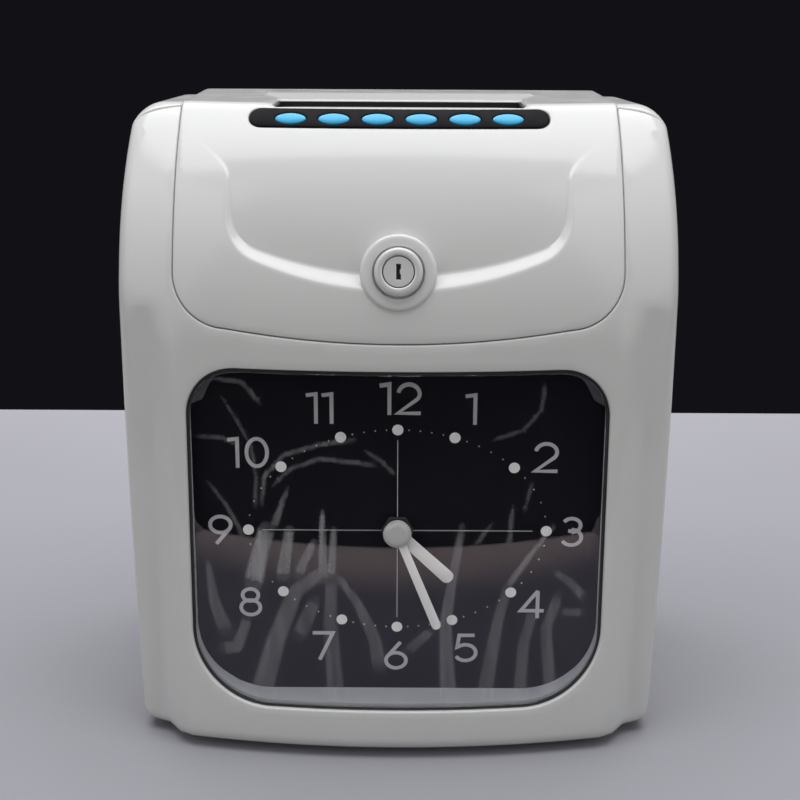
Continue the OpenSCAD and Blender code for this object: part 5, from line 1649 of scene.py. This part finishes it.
    def build(self) -> None:
        """Make the lid and fix it to its body."""
        region = Region.fill(self.loops(), self.spacing, self.fine_points())
        sheet = Skin(self.lifted(*region.points.T), region.faces)
        inner = self.lifted(*region.points.T, self.form.wall)
        shell = sheet.thickened(self.form.wall, self.roll, inner)
        knuckles = self.hinge.knuckles(self.form.lid_rear - 4)
        add_piece("lid_moulding", shell + self.collar() + knuckles, Finishes.CASE, "lid", "top_lid")


@dataclass
class KeyBar:
    """The black key strip on the slope and its six domed keys."""

    form: CaseForm
    lid: LidShell
    count: int = 6
    pitch: float = 15.0
    strip_size: Pair = (104.0, 8.2)
    strip_thick: float = 1.4
    strip_lift: float = 0.25
    strip_crown: float = 0.3
    strip_roll: float = 0.2
    strip_spacing: float = 1.1
    key_size: Pair = (10.8, 4.7)
    key_shift: float = -0.65
    key_fit: float = 0.3
    key_root: float = -2.4
    key_flange: float = 0.9
    key_edge: float = 0.25
    key_crown: float = 1.1
    roundness: float = 1.9

    def on_slope(self, u: Any, v: Points, h: Any) -> Points:
        """Set points on the strip.

        Args:
            u: Places along the strip.
            v: Places up its slope.
            h: Heights out of it.
        Returns:
            The points.
        """
        y, z = self.lid.strip_middle()
        arm = self.form.axis - y
        tilt = self.form.crease_angle - math.radians(self.lid.strip_drop)
        reach = arm - v * math.sin(tilt) + h * math.cos(tilt)
        rise = z + v * math.cos(tilt) + h * math.sin(tilt)
        turn = u / arm
        return np.column_stack([reach * np.sin(turn), self.form.axis - reach * np.cos(turn), rise])

    def oval(self, grow: float) -> Points:
        """Outline of a key, larger by so much."""
        around = circle(0, 0, 1, 48)
        return np.sign(around) * np.abs(around) ** (2 / self.roundness) * (np.array(self.key_size) / 2 + grow)

    def centres(self) -> list[float]:
        """Places of the keys along the strip."""
        return [(i - (self.count - 1) / 2) * self.pitch for i in range(self.count)]

    def build_strip(self) -> None:
        """Make the strip with its key openings."""
        roll = self.strip_roll
        outer = stadium(self.strip_size, -roll, 14)
        holes = [self.oval(self.key_fit + roll) + [u, self.key_shift] for u in self.centres()]
        region = Region.fill([outer, *holes], self.strip_spacing)
        u, v = region.points.T
        crown = self.strip_crown * (1 - (v / (self.strip_size[1] / 2)) ** 2)
        sheet = Skin(self.on_slope(u, v, self.strip_lift + crown), region.faces)
        shell = sheet.thickened(self.strip_thick, roll)
        add_piece("key_strip_cover", shell, Finishes.STRIP, "lid", "key_strip")

    def build_keys(self) -> None:
        """Make the six keys, each on its own body."""
        root, flange = self.key_root, self.oval(self.key_flange)
        levels = [(flange, root), (flange, root + 0.6), (self.oval(0), root + 0.9)]
        for t in np.linspace(0, math.pi / 2, 9):
            rise = (self.key_crown - self.key_edge) * math.sin(t)
            levels.append((self.oval(0) * math.cos(t * 0.97), self.key_edge + rise))
        for i, u in enumerate(self.centres(), 1):
            rows = [self.on_slope(u + at[:, 0], at[:, 1] + self.key_shift, h) for at, h in levels]
            add_piece(f"key_cap_{i}", loft(rows), Finishes.KEY, f"key_button_{i}", f"key_{i}")


@dataclass
class LidLock:
    """The cam lock in the lid: barrel with a rounded head and a plug with its keyway."""

    lid: LidShell
    head_r: float = 8.1
    head_low: float = -1.0
    head_top: float = 3.2
    head_sharp: float = 50.0
    barrel_r: float = 7.2
    barrel_low: float = -16.0
    plug_r: float = 5.3
    plug_gap: float = 0.12
    plug_sink: float = 0.55
    plug_depth: float = 6.0
    stem: Pair = (4.9, -15.5)
    keyway: Pair = (1.8, 5.4)

    def build(self) -> None:
        """Make the barrel, the plug and the dark block in its keyway, painted in as the shade inside the
        keyway.
        """
        top, r, low, stock = self.head_top, self.head_r, self.barrel_low, self.barrel_r
        bore = self.plug_r + self.plug_gap
        profile = [
            (stock, low), (stock, self.head_low), (r, self.head_low), (r, top - 1.3),
            (r - 0.12, top - 0.7), (r - 0.45, top - 0.25), (r - 0.95, top), (bore + 0.6, top),
            (bore + 0.35, top - 0.08), (bore + 0.06, top - 0.35), (bore, top - 0.6), (bore, low),
        ]
        place = self.lid.lock_place()
        barrel = lathe(profile, 96, wrap=True).placed(place)
        add_piece("lock_head", barrel, Finishes.LOCK, "lid", "lock_barrel", sharp=self.head_sharp)
        slot = self.slot()
        face = top - self.plug_sink
        # Black block inside the keyway: painted shade of its dark inside
        shade_rows = [np.column_stack([slot * 0.97, np.full(len(slot), h)]) for h in (face - 5.8, face - 0.7)]
        add_piece("keyway_shade", loft(shade_rows).placed(place), Finishes.JACK, "lock")
        add_piece("lock_core", self.plug(slot, face).placed(place), Finishes.LOCK, "lock", "lock_plug")

    def slot(self) -> Points:
        """Outline of the keyway, with a ward on one side."""
        x, z = self.keyway[0] / 2, self.keyway[1] / 2
        ward = 0.6 * x
        corners = [(-x, -z), (x, -z), (x, -0.9), (ward, -0.3), (ward, 0.5), (x, 1.0), (x, z), (-x, z)]
        return polygon(corners, (3, 3, 2, 2, 2, 3, 3, 8))

    def plug(self, slot: Points, face: float) -> Skin:
        """The turning plug, with a real keyway.

        Args:
            slot: Outline of the keyway.
            face: Height of the plug's face.
        Returns:
            The plug and its stem.
        """
        region = Region.fill([circle(0, 0, self.plug_r - 0.35, 64), slot], 0.7)
        at = region.points
        sheet = Skin(np.column_stack([at, np.full(len(at), face)]), region.faces)
        stem_r, stem_low = self.stem
        stem = lathe([(stem_r, stem_low), (stem_r, face - self.plug_depth - 0.2)], 48)
        return sheet.thickened(self.plug_depth, 0.12) + stem


# The clock


@dataclass
class StrokeDigits:
    """Plain round numerals drawn as raised strokes of one width, in a box one unit high."""

    height: float
    y: float
    thick: float
    width: float = 0.118
    layer: float = 0.02
    stretch: float = 1.2
    advance: float = 0.84
    narrow: float = 0.48
    nudge: float = 0.06

    @staticmethod
    @cache
    def strokes(digit: str) -> list[tuple[Points, bool]]:
        """Middle lines of a digit.

        Args:
            digit: One digit.
        Returns:
            Its strokes, and whether each closes on itself.
        """
        low, high = 0.055, 0.945
        shapes: dict[str, list[tuple[Any, bool]]] = {
            "0": [(circle(0, 0, 1, 40) * [0.265, 0.445] + [0, 0.5], True)],
            "1": [([[-0.25, 0.905], [0.0, high], [0.0, 0.0]], False)],
            "2": [([*arc(0, 0.672, 0.272, 172, -38, 22), [-0.285, low], [0.3, low]], False)],
            "3": [
                (arc(0, 0.715, 0.23, 150, -90, 20), False),
                (arc(0, 0.315, 0.26, 90, -152, 22), False),
                ([[-0.09, 0.53], [0.0, 0.53]], False),
            ],
            "4": [([[0.14, high], [-0.3, 0.26], [0.31, 0.26]], False), ([[0.14, 0.0], [0.14, high]], False)],
            "5": [
                ([[0.24, high], [-0.17, high], [-0.222, 0.525], *arc(0, 0.335, 0.28, 132, -152, 24)], False)
            ],
            "6": [(circle(0, 0.325, 0.27, 36), True), ([[0.12, 0.97], [-0.235, 0.46]], False)],
            "7": [([[-0.27, high], [0.27, high], [-0.09, 0.0]], False)],
            "8": [(circle(0, 0.735, 0.21, 32), True), (circle(0, 0.31, 0.255, 36), True)],
            "9": [(circle(0, 0.675, 0.27, 36), True), ([[-0.12, 0.03], [0.235, 0.54]], False)],
        }
        return [(np.array(path), closed) for path, closed in shapes[digit]]

    def ribbon(self, path: Points, closed: bool, place: Points, layer: int) -> Skin:
        """Make one stroke as a thin ribbon.

        Args:
            path: Middle line of the stroke.
            closed: Whether it closes on itself.
            place: Where the digit's box starts on the dial.
            layer: Count of the strokes below it.
        Returns:
            The ribbon.
        """
        path = path * [self.stretch, 1.0]
        half = np.full((len(path), 1), self.width / 2)
        if closed:
            ahead = np.roll(path, -1, 0) - np.roll(path, 1, 0)
        else:
            steps = unit(np.diff(path, axis=0))
            ahead = np.vstack([steps[:1], steps[1:] + steps[:-1], steps[-1:]])
            turn = np.linalg.norm(ahead, axis=1, keepdims=True) / 2
            half[1:-1] /= np.maximum(turn[1:-1], 0.45)
        across = left_of(ahead) * half
        left, right = (place + (path + way * across) * self.height for way in (1, -1))
        face = self.y - layer * self.layer
        back = face + self.thick
        edges = [stood(left, face), stood(right, face), stood(right, back), stood(left, back)]
        return loft(np.stack(edges, axis=1), wrap=closed)

    def number(self, text: str, place: Points) -> Skin:
        """Make a number.

        Args:
            text: The number.
            place: Its middle on the dial.
        Returns:
            All of its strokes.
        """
        widths = [self.narrow if char == "1" else self.advance for char in text]
        offset = -sum(widths) / 2
        parts = []
        for char, width in zip(text, widths):
            nudge = self.nudge if char == "1" else 0
            start = place + np.array([offset + width / 2 + nudge, -0.5]) * self.height
            offset += width
            strokes = enumerate(self.strokes(char))
            parts += [self.ribbon(path, closed, start, layer) for layer, (path, closed) in strokes]
        return joined(parts)


@dataclass
class ClockFace:
    """What shows in the window: lens, surround, print on the dial, hands and their cap."""

    form: CaseForm
    axis_z: float = 82.0
    numeral_height: float = 11.3
    number_places: tuple[Pair, ...] = (
        (1.1, 48.4), (26.1, 45.0), (52.0, 27.5), (61.9, -0.2), (48.8, -28.0), (25.0, -45.6),
        (-0.3, -48.7), (-26.9, -44.9), (-52.8, -27.8), (-62.8, -0.1), (-52.0, 28.8), (-26.4, 45.1),
    )
    ring_half: Pair = (52.9, 37.3)
    hour_dot: float = 1.95
    minute_dot: float = 0.22
    print_thick: float = 0.05
    print_sharp: float = 20.0
    line_size: Pair = (48.0, 33.5)
    line_half: float = 0.13
    lens_inset: float = 0.8
    lens_thick: float = 2.0
    lens_roll: float = 0.5
    lens_spacing: float = 4.0
    # Width of the gap round the lens, which a black ring fills as painted shade
    gasket: float = 1.0
    sill: float = 1.5
    rim: float = 2.0
    hour_hand: tuple[float, float, float, float] = (26.5, 4.8, 4.6, 133.2)
    minute_hand: tuple[float, float, float, float] = (39.4, 3.3, 4.3, 158.1)
    hand_soft: float = 0.22

    @property
    def dial_front(self) -> float:
        """Depth of the dial plate's face."""
        return box_mm("dial_plate")[0][1]

    def build_lens(self) -> Object:
        """Make the clear lens and the dark ring round it, painted in as the shade of the gap between lens and
        window.

        Returns:
            The lens.
        """
        form, inset = self.form, self.lens_inset
        region = Region.fill([form.window(-self.gasket - self.lens_roll)], self.lens_spacing)
        sheet = Skin(form.set_back(region.points, inset), region.faces)
        shell = sheet.thickened(self.lens_thick, self.lens_roll)
        lens = add_piece("window_lens", shell, Finishes.LENS, "case", "clock_lens")
        # Black ring in the gap round the lens: painted shade of the gap
        section = ((-0.1, 0.6), (-self.gasket, 0.6), (-self.gasket, 2.0), (-0.1, 2.0))
        rows = [form.set_back(form.window(grow), inset + depth) for grow, depth in section]
        add_piece("lens_gap_shade", loft(rows, wrap=True), Finishes.RUBBER, "case")
        return lens

    def build_surround(self) -> None:
        """Make the pale frame between lens and dial."""
        form, sill, rim = self.form, self.sill, self.rim
        depth = self.lens_inset + self.lens_thick + 2.0
        back = self.dial_front - 0.02
        section = ((rim, depth), (0.7 - sill, depth), (0.2 - sill, depth + 0.2), (-sill, depth + 0.7))
        rows = [form.set_back(form.window(grow), setting) for grow, setting in section]
        for row in rows:
            row[:, 1] = np.minimum(row[:, 1], back - 0.1)
        rows += [stood(form.window(grow), back) for grow in (-sill, rim)]
        add_piece("dial_frame", loft(rows, wrap=True), Finishes.SURROUND, "case", "dial_surround")

    def build_print(self) -> None:
        """Make the numbers, the cross lines and the dots on the dial."""
        thick, sharp, middle = self.print_thick, self.print_sharp, self.axis_z
        y = self.dial_front - thick
        digits = StrokeDigits(self.numeral_height, y, thick)
        hours = enumerate(np.array(self.number_places) + [0, middle])
        numbers = joined(digits.number(str(hour or 12), place) for hour, place in hours)
        add_piece("dial_numbers", numbers, Finishes.PRINT, "case", sharp=sharp)
        lines = []
        for x, z in ((self.line_size[0], self.line_half), (self.line_half, self.line_size[1])):
            edge = ((-x, 0), (x, 0), (x, thick), (-x, thick))
            lines.append(loft([[[at, y + deep, middle + end] for at, deep in edge] for end in (-z, z)]))
        add_piece("dial_lines", joined(lines), Finishes.CAP, "case", sharp=sharp)
        a, b = self.ring_half
        places, sizes = [], []
        for minute in range(60):
            sin, cos = math.sin(math.radians(6 * minute)), math.cos(math.radians(6 * minute))
            reach = 1 / math.hypot(sin / a, cos / b)
            places.append([reach * sin, y + thick / 2, middle + reach * cos])
            sizes.append(1.0 if minute % 5 == 0 else self.minute_dot / self.hour_dot)
        dots = Repeater(Repeater.Shape.PRINTED_DOT).make(
            "dial_dots", places, sizes, self.hour_dot, thick, 90, Finishes.HAND
        )
        place_piece(dots, "case", Finishes.HAND.slot)

    def hand(self, name: str, node: str, body: str, sizes: tuple[float, float, float, float]) -> None:
        """Make one hand with softened edges and a round hub.

        Args:
            name: Name of the piece.
            node: The solid that it stands for.
            body: The body that it turns with.
            sizes: Length from the axis, width, radius of the hub, and degrees clockwise from upright.
        """
        (_, front, _), (_, back, _) = box_mm(node)
        length, width, hub, angle = sizes
        soft, tip = self.hand_soft, width * 0.44
        blade = np.vstack(
            [
                [[-tip, 0.0], [tip, 0.0]],
                arc(width / 2 - tip, length - tip, tip, 0, 90, 6),
                arc(-width / 2 + tip, length - tip, tip, 90, 180, 6),
            ]
        )
        middle = blade.mean(0)
        away = blade - middle
        span = np.abs(away).max(0)
        rows = []
        for inset, y in ((0.0, back), (0.0, front + soft), (soft * 0.35, front + soft * 0.3), (soft, front)):
            rows.append(stood(middle + away * (1 - inset / span), y))
        disc = lathe([(hub, -back), (hub, -front - soft), (hub - soft, -front + 0.04)], 48)
        skin = loft(rows) + disc.placed(turned(90, "X"))
        turn = Matrix.Translation((0, 0, self.axis_z)) @ turned(angle, "Y")
        add_piece(name, skin.placed(turn), Finishes.HAND, body, node)

    def build_hands(self) -> None:
        """Make both hands and the cap."""
        self.hand("hour_pointer", "hour_hand", "hour_train", self.hour_hand)
        self.hand("minute_pointer", "minute_hand", "minute_train", self.minute_hand)
        low, high = box_mm("hand_cap")
        front, back, r = -low[1], -high[1], (high[0] - low[0]) / 2
        profile = [
            (r, back), (r, back + 0.5), (r - 0.15, back + 0.9),
            (r - 0.95, front - 0.35), (r - 1.3, front - 0.1), (r - 1.8, front),
        ]
        turn = Matrix.Translation((0, 0, self.axis_z)) @ turned(90, "X")
        add_piece("hand_boss", lathe(profile).placed(turn), Finishes.CAP, "minute_train", "hand_cap")


@dataclass(frozen=True)
class Crease:
    """One crease of the film: its middle line in the front view, half widths at its ends and strength."""

    line: tuple[Pair, ...]
    widths: Pair
    strength: float


@dataclass(frozen=True)
class FilmFinish(Dressing):
    """A clear film that turns milky where it is creased."""

    slot: str = "clear_film"
    colour: Colour = (0.74, 0.74, 0.78)
    rough: Pair = (0.22, 0.36)
    streaks: tuple[float, float, float] = (300.0, 1.0, 36.0)
    densest: float = 0.55
    traces: float = 25.0

    def inputs(self, net: NodeTree, place: Socket) -> dict[str, Any]:
        """Add the nodes before the shader, as Dressing.inputs says."""
        traces = net.group(SharedEffects.handling(), place, self.traces).outputs
        crest = net.add("ShaderNodeAttribute", attribute_name="crest").outputs["Fac"]
        streak = net.add("ShaderNodeMapping", {"Vector": place, "Scale": self.streaks}).outputs[0]
        vary = net.ranged(net.noise(streak, 1.0, 3.0), (0.3, 0.7), (0.45, 1.0))
        return {
            "Base Color": self.colour,
            "Roughness": net.ranged(traces["Smudge"], target=self.rough),
            "Alpha": net.ranged(net.math("MULTIPLY", crest, vary), target=(0.0, self.densest)),
        }


@dataclass
class ProtectiveFilm:
    """The clear film that still lies on the lens, creased where it has lifted."""

    form: CaseForm
    lens_inset: float = 0.8
    margin: float = 1.9
    lift: float = 0.12
    height: float = 0.55
    spacing: float = 0.9
    creases: tuple[Crease, ...] = (
        Crease(((-45.5, 86), (-48, 77), (-50.5, 66)), (2.6, 3.2), 0.9),
        Crease(((-37.5, 86), (-39, 76), (-40, 69)), (1.6, 2.2), 0.8),
        Crease(((-29, 82), (-34.5, 70)), (1.2, 1.8), 0.7),
        Crease(((-26, 93), (-26, 68)), (0.7, 1.6), 0.9),
        Crease(((-22, 87), (-23, 70)), (0.9, 1.5), 0.7),
        Crease(((-24, 73), (-36, 63), (-43, 44), (-49, 23)), (2.0, 4.0), 0.42),
        Crease(((-29, 60), (-34.5, 47)), (2.2, 2.6), 0.32),
        Crease(((-23, 68), (-23.5, 52), (-21.5, 22)), (2.0, 3.0), 0.34),
        Crease(((-21, 70), (-14, 60), (-8, 47), (-6, 36)), (1.2, 2.6), 0.38),
        Crease(((12, 49.5), (4, 42)), (1.5, 1.9), 0.34),
        Crease(((22.5, 88), (19.5, 70), (17, 52), (18.5, 22)), (1.2, 2.8), 0.5),
        Crease(((54.5, 87), (46, 76), (38.5, 65)), (0.7, 1.4), 0.6),
        Crease(((39, 66), (35.5, 52), (31, 22)), (1.6, 2.8), 0.36),
        Crease(((48, 56), (45, 43), (44, 22)), (1.8, 2.4), 0.34),
        Crease(((57, 61), (53, 49), (55.5, 22)), (1.8, 2.4), 0.34),
        Crease(((55.5, 70), (61, 66), (66, 60)), (1.2, 1.6), 0.34),
        Crease(((58, 55), (66, 54)), (1.3, 1.7), 0.28),
        Crease(((-67, 73), (-65, 58), (-61, 47)), (1.0, 2.8), 0.36),
        Crease(((-53, 52), (-57, 41), (-62, 40)), (1.6, 2.4), 0.34),
        Crease(((-47, 95), (-46, 105), (-39, 113), (-27, 117), (-15, 119)), (0.75, 0.85), 0.42),
        Crease(((-43, 102), (-37, 108), (-27, 112), (-14, 111), (-8, 110)), (0.75, 0.85), 0.36),
        Crease(((-11, 115), (-6, 112), (-1, 107)), (0.7, 0.8), 0.28),
        Crease(((-49.5, 94), (-49, 105), (-50.5, 116), (-56, 126), (-60, 132)), (0.8, 0.6), 0.34),
        Crease(((-38, 101), (-43, 87)), (0.7, 1.4), 0.4),
        Crease(((-66, 102), (-59, 93), (-53.5, 82)), (0.7, 0.9), 0.3),
        Crease(((33, 119), (43, 122), (49, 129), (50, 138)), (0.7, 0.75), 0.3),
        Crease(((46.5, 103), (44, 93)), (0.7, 0.7), 0.26),
        Crease(((40, 95), (39, 81)), (0.7, 1.1), 0.34),
        Crease(((33, 89), (27, 81)), (0.7, 0.8), 0.3),
        Crease(((-64, 139), (-53, 138), (-47, 131)), (0.75, 0.85), 0.28),
        Crease(((-69, 118), (-60, 118), (-55, 116)), (0.7, 0.8), 0.26),
    )

    def crest(self, points: Points) -> Points:
        """Work out how strongly the film is creased.

        Args:
            points: Points of the front view.
        Returns:
            A share from 0 to 1 for each point.
        """
        found = np.zeros(len(points))
        for crease in self.creases:
            path = resampled(np.array(crease.line, float), 1.5)
            widths = np.linspace(*crease.widths, len(path))
            apart = np.linalg.norm(points[:, None] - path, axis=2)
            near = (apart / widths).min(1)
            along = apart.argmin(1) / (len(path) - 1)
            ends = smooth(np.minimum(along, 1 - along) * 6 + 0.35)
            found = np.maximum(found, crease.strength * ends * smooth((1.25 - near) / 0.5))
        return found

    def build(self, lens: Object) -> None:
        """Lay the film on the lens.

        Args:
            lens: The lens; not used.
        """
        outline = self.form.window(-self.margin)
        region = Region.fill([outline], self.spacing)
        crest = self.crest(region.points)
        points = self.form.set_back(region.points, self.lens_inset - self.lift - self.height * crest)
        mesh = bpy.data.meshes.new("lens_film")
        mesh.from_pydata((points * MM).tolist(), [], region.faces)
        mesh.attributes.new("crest", "FLOAT", "POINT").data.foreach_set("value", crest.tolist())
        mesh.materials.append(FilmFinish().build())
        mesh.polygons.foreach_set("use_smooth", [True] * len(mesh.polygons))
        film = link("lens_film", mesh)
        place_piece(film, "case", Finishes.LENS.slot)


# The studio


@dataclass(frozen=True)
class TableFinish(Dressing):
    """Pale matt table, its colour painted darker towards the front as painted shade, with a painted warm glow
    on its front edge.
    """

    slot: str = "table"
    # Painted light: the front edge glows warm, though no lamp is there
    warm_edge: Pair = (-0.29, -0.225)
    warm: Colour = (0.80, 0.60, 0.44)
    # reach, near and far: painted shade, the table's colour darker at the front and lighter behind
    reach: Pair = (-0.3, 0.4)
    near: Colour = (0.37, 0.368, 0.41)
    far: Colour = (0.55, 0.545, 0.605)
    bounced: Colour = (0.18, 0.18, 0.19)
    cloud: float = 0.12

    def inputs(self, net: NodeTree, place: Socket) -> dict[str, Any]:
        """Add the nodes before the shader, as Dressing.inputs says."""
        depth = net.add("ShaderNodeSeparateXYZ", {0: place}).outputs[1]
        # Painted shade: the colour darkens towards the front of the table
        away = net.ranged(depth, self.reach)
        cloud = net.ranged(net.noise(place, 4.0, 3.0), target=(-self.cloud, self.cloud))
        tone = net.blend(net.math("MULTIPLY_ADD", away, away, cloud), self.near, self.far)
        bounce = net.add("ShaderNodeLightPath").outputs["Is Diffuse Ray"]
        # edge: share of the painted warm glow, strongest at the front edge
        edge = net.ranged(depth, self.warm_edge, (1.0, 0.0), interpolation_type="SMOOTHSTEP")
        return {
            "Base Color": net.blend(bounce, tone, self.bounced),
            "Roughness": 0.5,
            "Emission Color": net.blend(edge, (0.0, 0.0, 0.0), self.warm),
            "Emission Strength": 1.0,
        }


@dataclass
class Studio:
    """Pale table, dark surroundings, soft lights and the camera."""

    table_depth: Pair = (-0.31, 0.39)
    table_half: float = 1.1
    table_bow: float = 0.5
    table_thick: float = 0.03
    camera_place: tuple[float, float, float] = (0.0007, -0.4944, 0.252)
    pitch: float = 15.4
    roll: float = 0.3
    focal_pixels: float = 1325.0
    image_pixels: float = 800.0
    sensor: float = 36.0
    overhead_watts: float = 28.0
    fill_watts: float = 6.8
    dim: Colour = (0.07, 0.07, 0.072)
    backdrop: Colour = (0.006, 0.006, 0.008)

    def build_camera(self) -> None:
        """Set the camera at the photograph's place."""
        data = bpy.data.cameras.new("camera")
        data.sensor_width = self.sensor
        data.lens = self.focal_pixels / self.image_pixels * self.sensor
        data.clip_start = 0.01
        camera = link("camera", data)
        aim = turned(90 - self.pitch, "X") @ turned(self.roll, "Z")
        camera.matrix_world = Matrix.Translation(self.camera_place) @ aim
        bpy.context.scene.camera = camera

    def build_table(self) -> None:
        """Lay the pale table that the clock stands on."""
        y0, y1 = self.table_depth
        half = self.table_half
        across = np.linspace(-half, half, 49)
        edge = np.minimum(y0 + self.table_bow * across**2, 0.0)
        outline = np.vstack([np.column_stack([across, edge]), [[half, y1], [-half, y1]]]) / MM
        rows = [np.column_stack([outline, np.full(len(outline), z)]) for z in (-self.table_thick / MM, 0.0)]
        make_object("table", loft(rows), TableFinish(), 1)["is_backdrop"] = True

    def build_lamps(self) -> None:
        """Hang the soft lamps, each at its place and turned to its target."""
        lamps = [("overhead", (0.0, 0.16, 1.5), (0.0, 0.14, 0.0), (1.8, 1.6), self.overhead_watts)]
        for side in (-1, 1):
            place = (1.25 * side, -0.85, 0.7)
            lamps.append((f"fill_{side + 1}", place, (0.0, 0.0, 0.12), (1.3, 1.8), self.fill_watts))
        for name, place, target, size, watts in lamps:
            data = bpy.data.lights.new(name, "AREA")
            data.shape = "RECTANGLE"
            data.size, data.size_y = size
            data.energy = watts
            lamp = link(name, data)
            lamp.location = place
            aim = Vector(target) - Vector(place)
            lamp.rotation_euler = aim.to_track_quat("-Z", "Y").to_euler()

    def build_surroundings(self) -> None:
        """Set the dim light from all round, darker where it is seen or mirrored."""
        world = bpy.data.worlds.new("surroundings")
        bpy.context.scene.world = world
        world.use_nodes = True
        net = NodeTree(world.node_tree)
        path = net.add("ShaderNodeLightPath").outputs
        seen = net.math("ADD", path["Is Camera Ray"], path["Is Glossy Ray"])
        seen = net.math("ADD", seen, path["Is Transmission Ray"], use_clamp=True)
        tone = net.blend(seen, self.dim, self.backdrop)
        back = net.add("ShaderNodeBackground", {"Color": tone, "Strength": 1.0})
        net.add("ShaderNodeOutputWorld", {"Surface": back.outputs[0]})

    def build(self) -> None:
        """Set the whole stage."""
        self.build_camera()
        self.build_table()
        self.build_lamps()
        self.build_surroundings()
        bpy.context.scene.view_settings.view_transform = "Standard"


def corners(box: Sequence[Vector]) -> list[list[float]]:
    """A box as plain lists of numbers."""
    return [list(map(float, corner)) for corner in box]


def main() -> None:
    """Build the clock's looks around its frame."""
    logging.basicConfig(level=logging.INFO, format="%(message)s")
    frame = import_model()
    cad_box = corners(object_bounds())
    Studio().build()
    Finishes.dress_frame(frame["nodes"])
    form, hinge = CaseForm(), Hinge()
    shells = CaseShells(form, hinge)
    shells.build()
    shells.build_fittings()
    lid = LidShell(form, hinge)
    lid.build()
    lid.build_throat()
    keys = KeyBar(form, lid)
    keys.build_strip()
    keys.build_keys()
    LidLock(lid).build()
    face = ClockFace(form)
    lens = face.build_lens()
    ProtectiveFilm(form).build(lens)
    face.build_surround()
    face.build_print()
    face.build_hands()
    {"cad": cad_box, "visual": corners(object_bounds())}


if __name__ == "__main__":
    main()
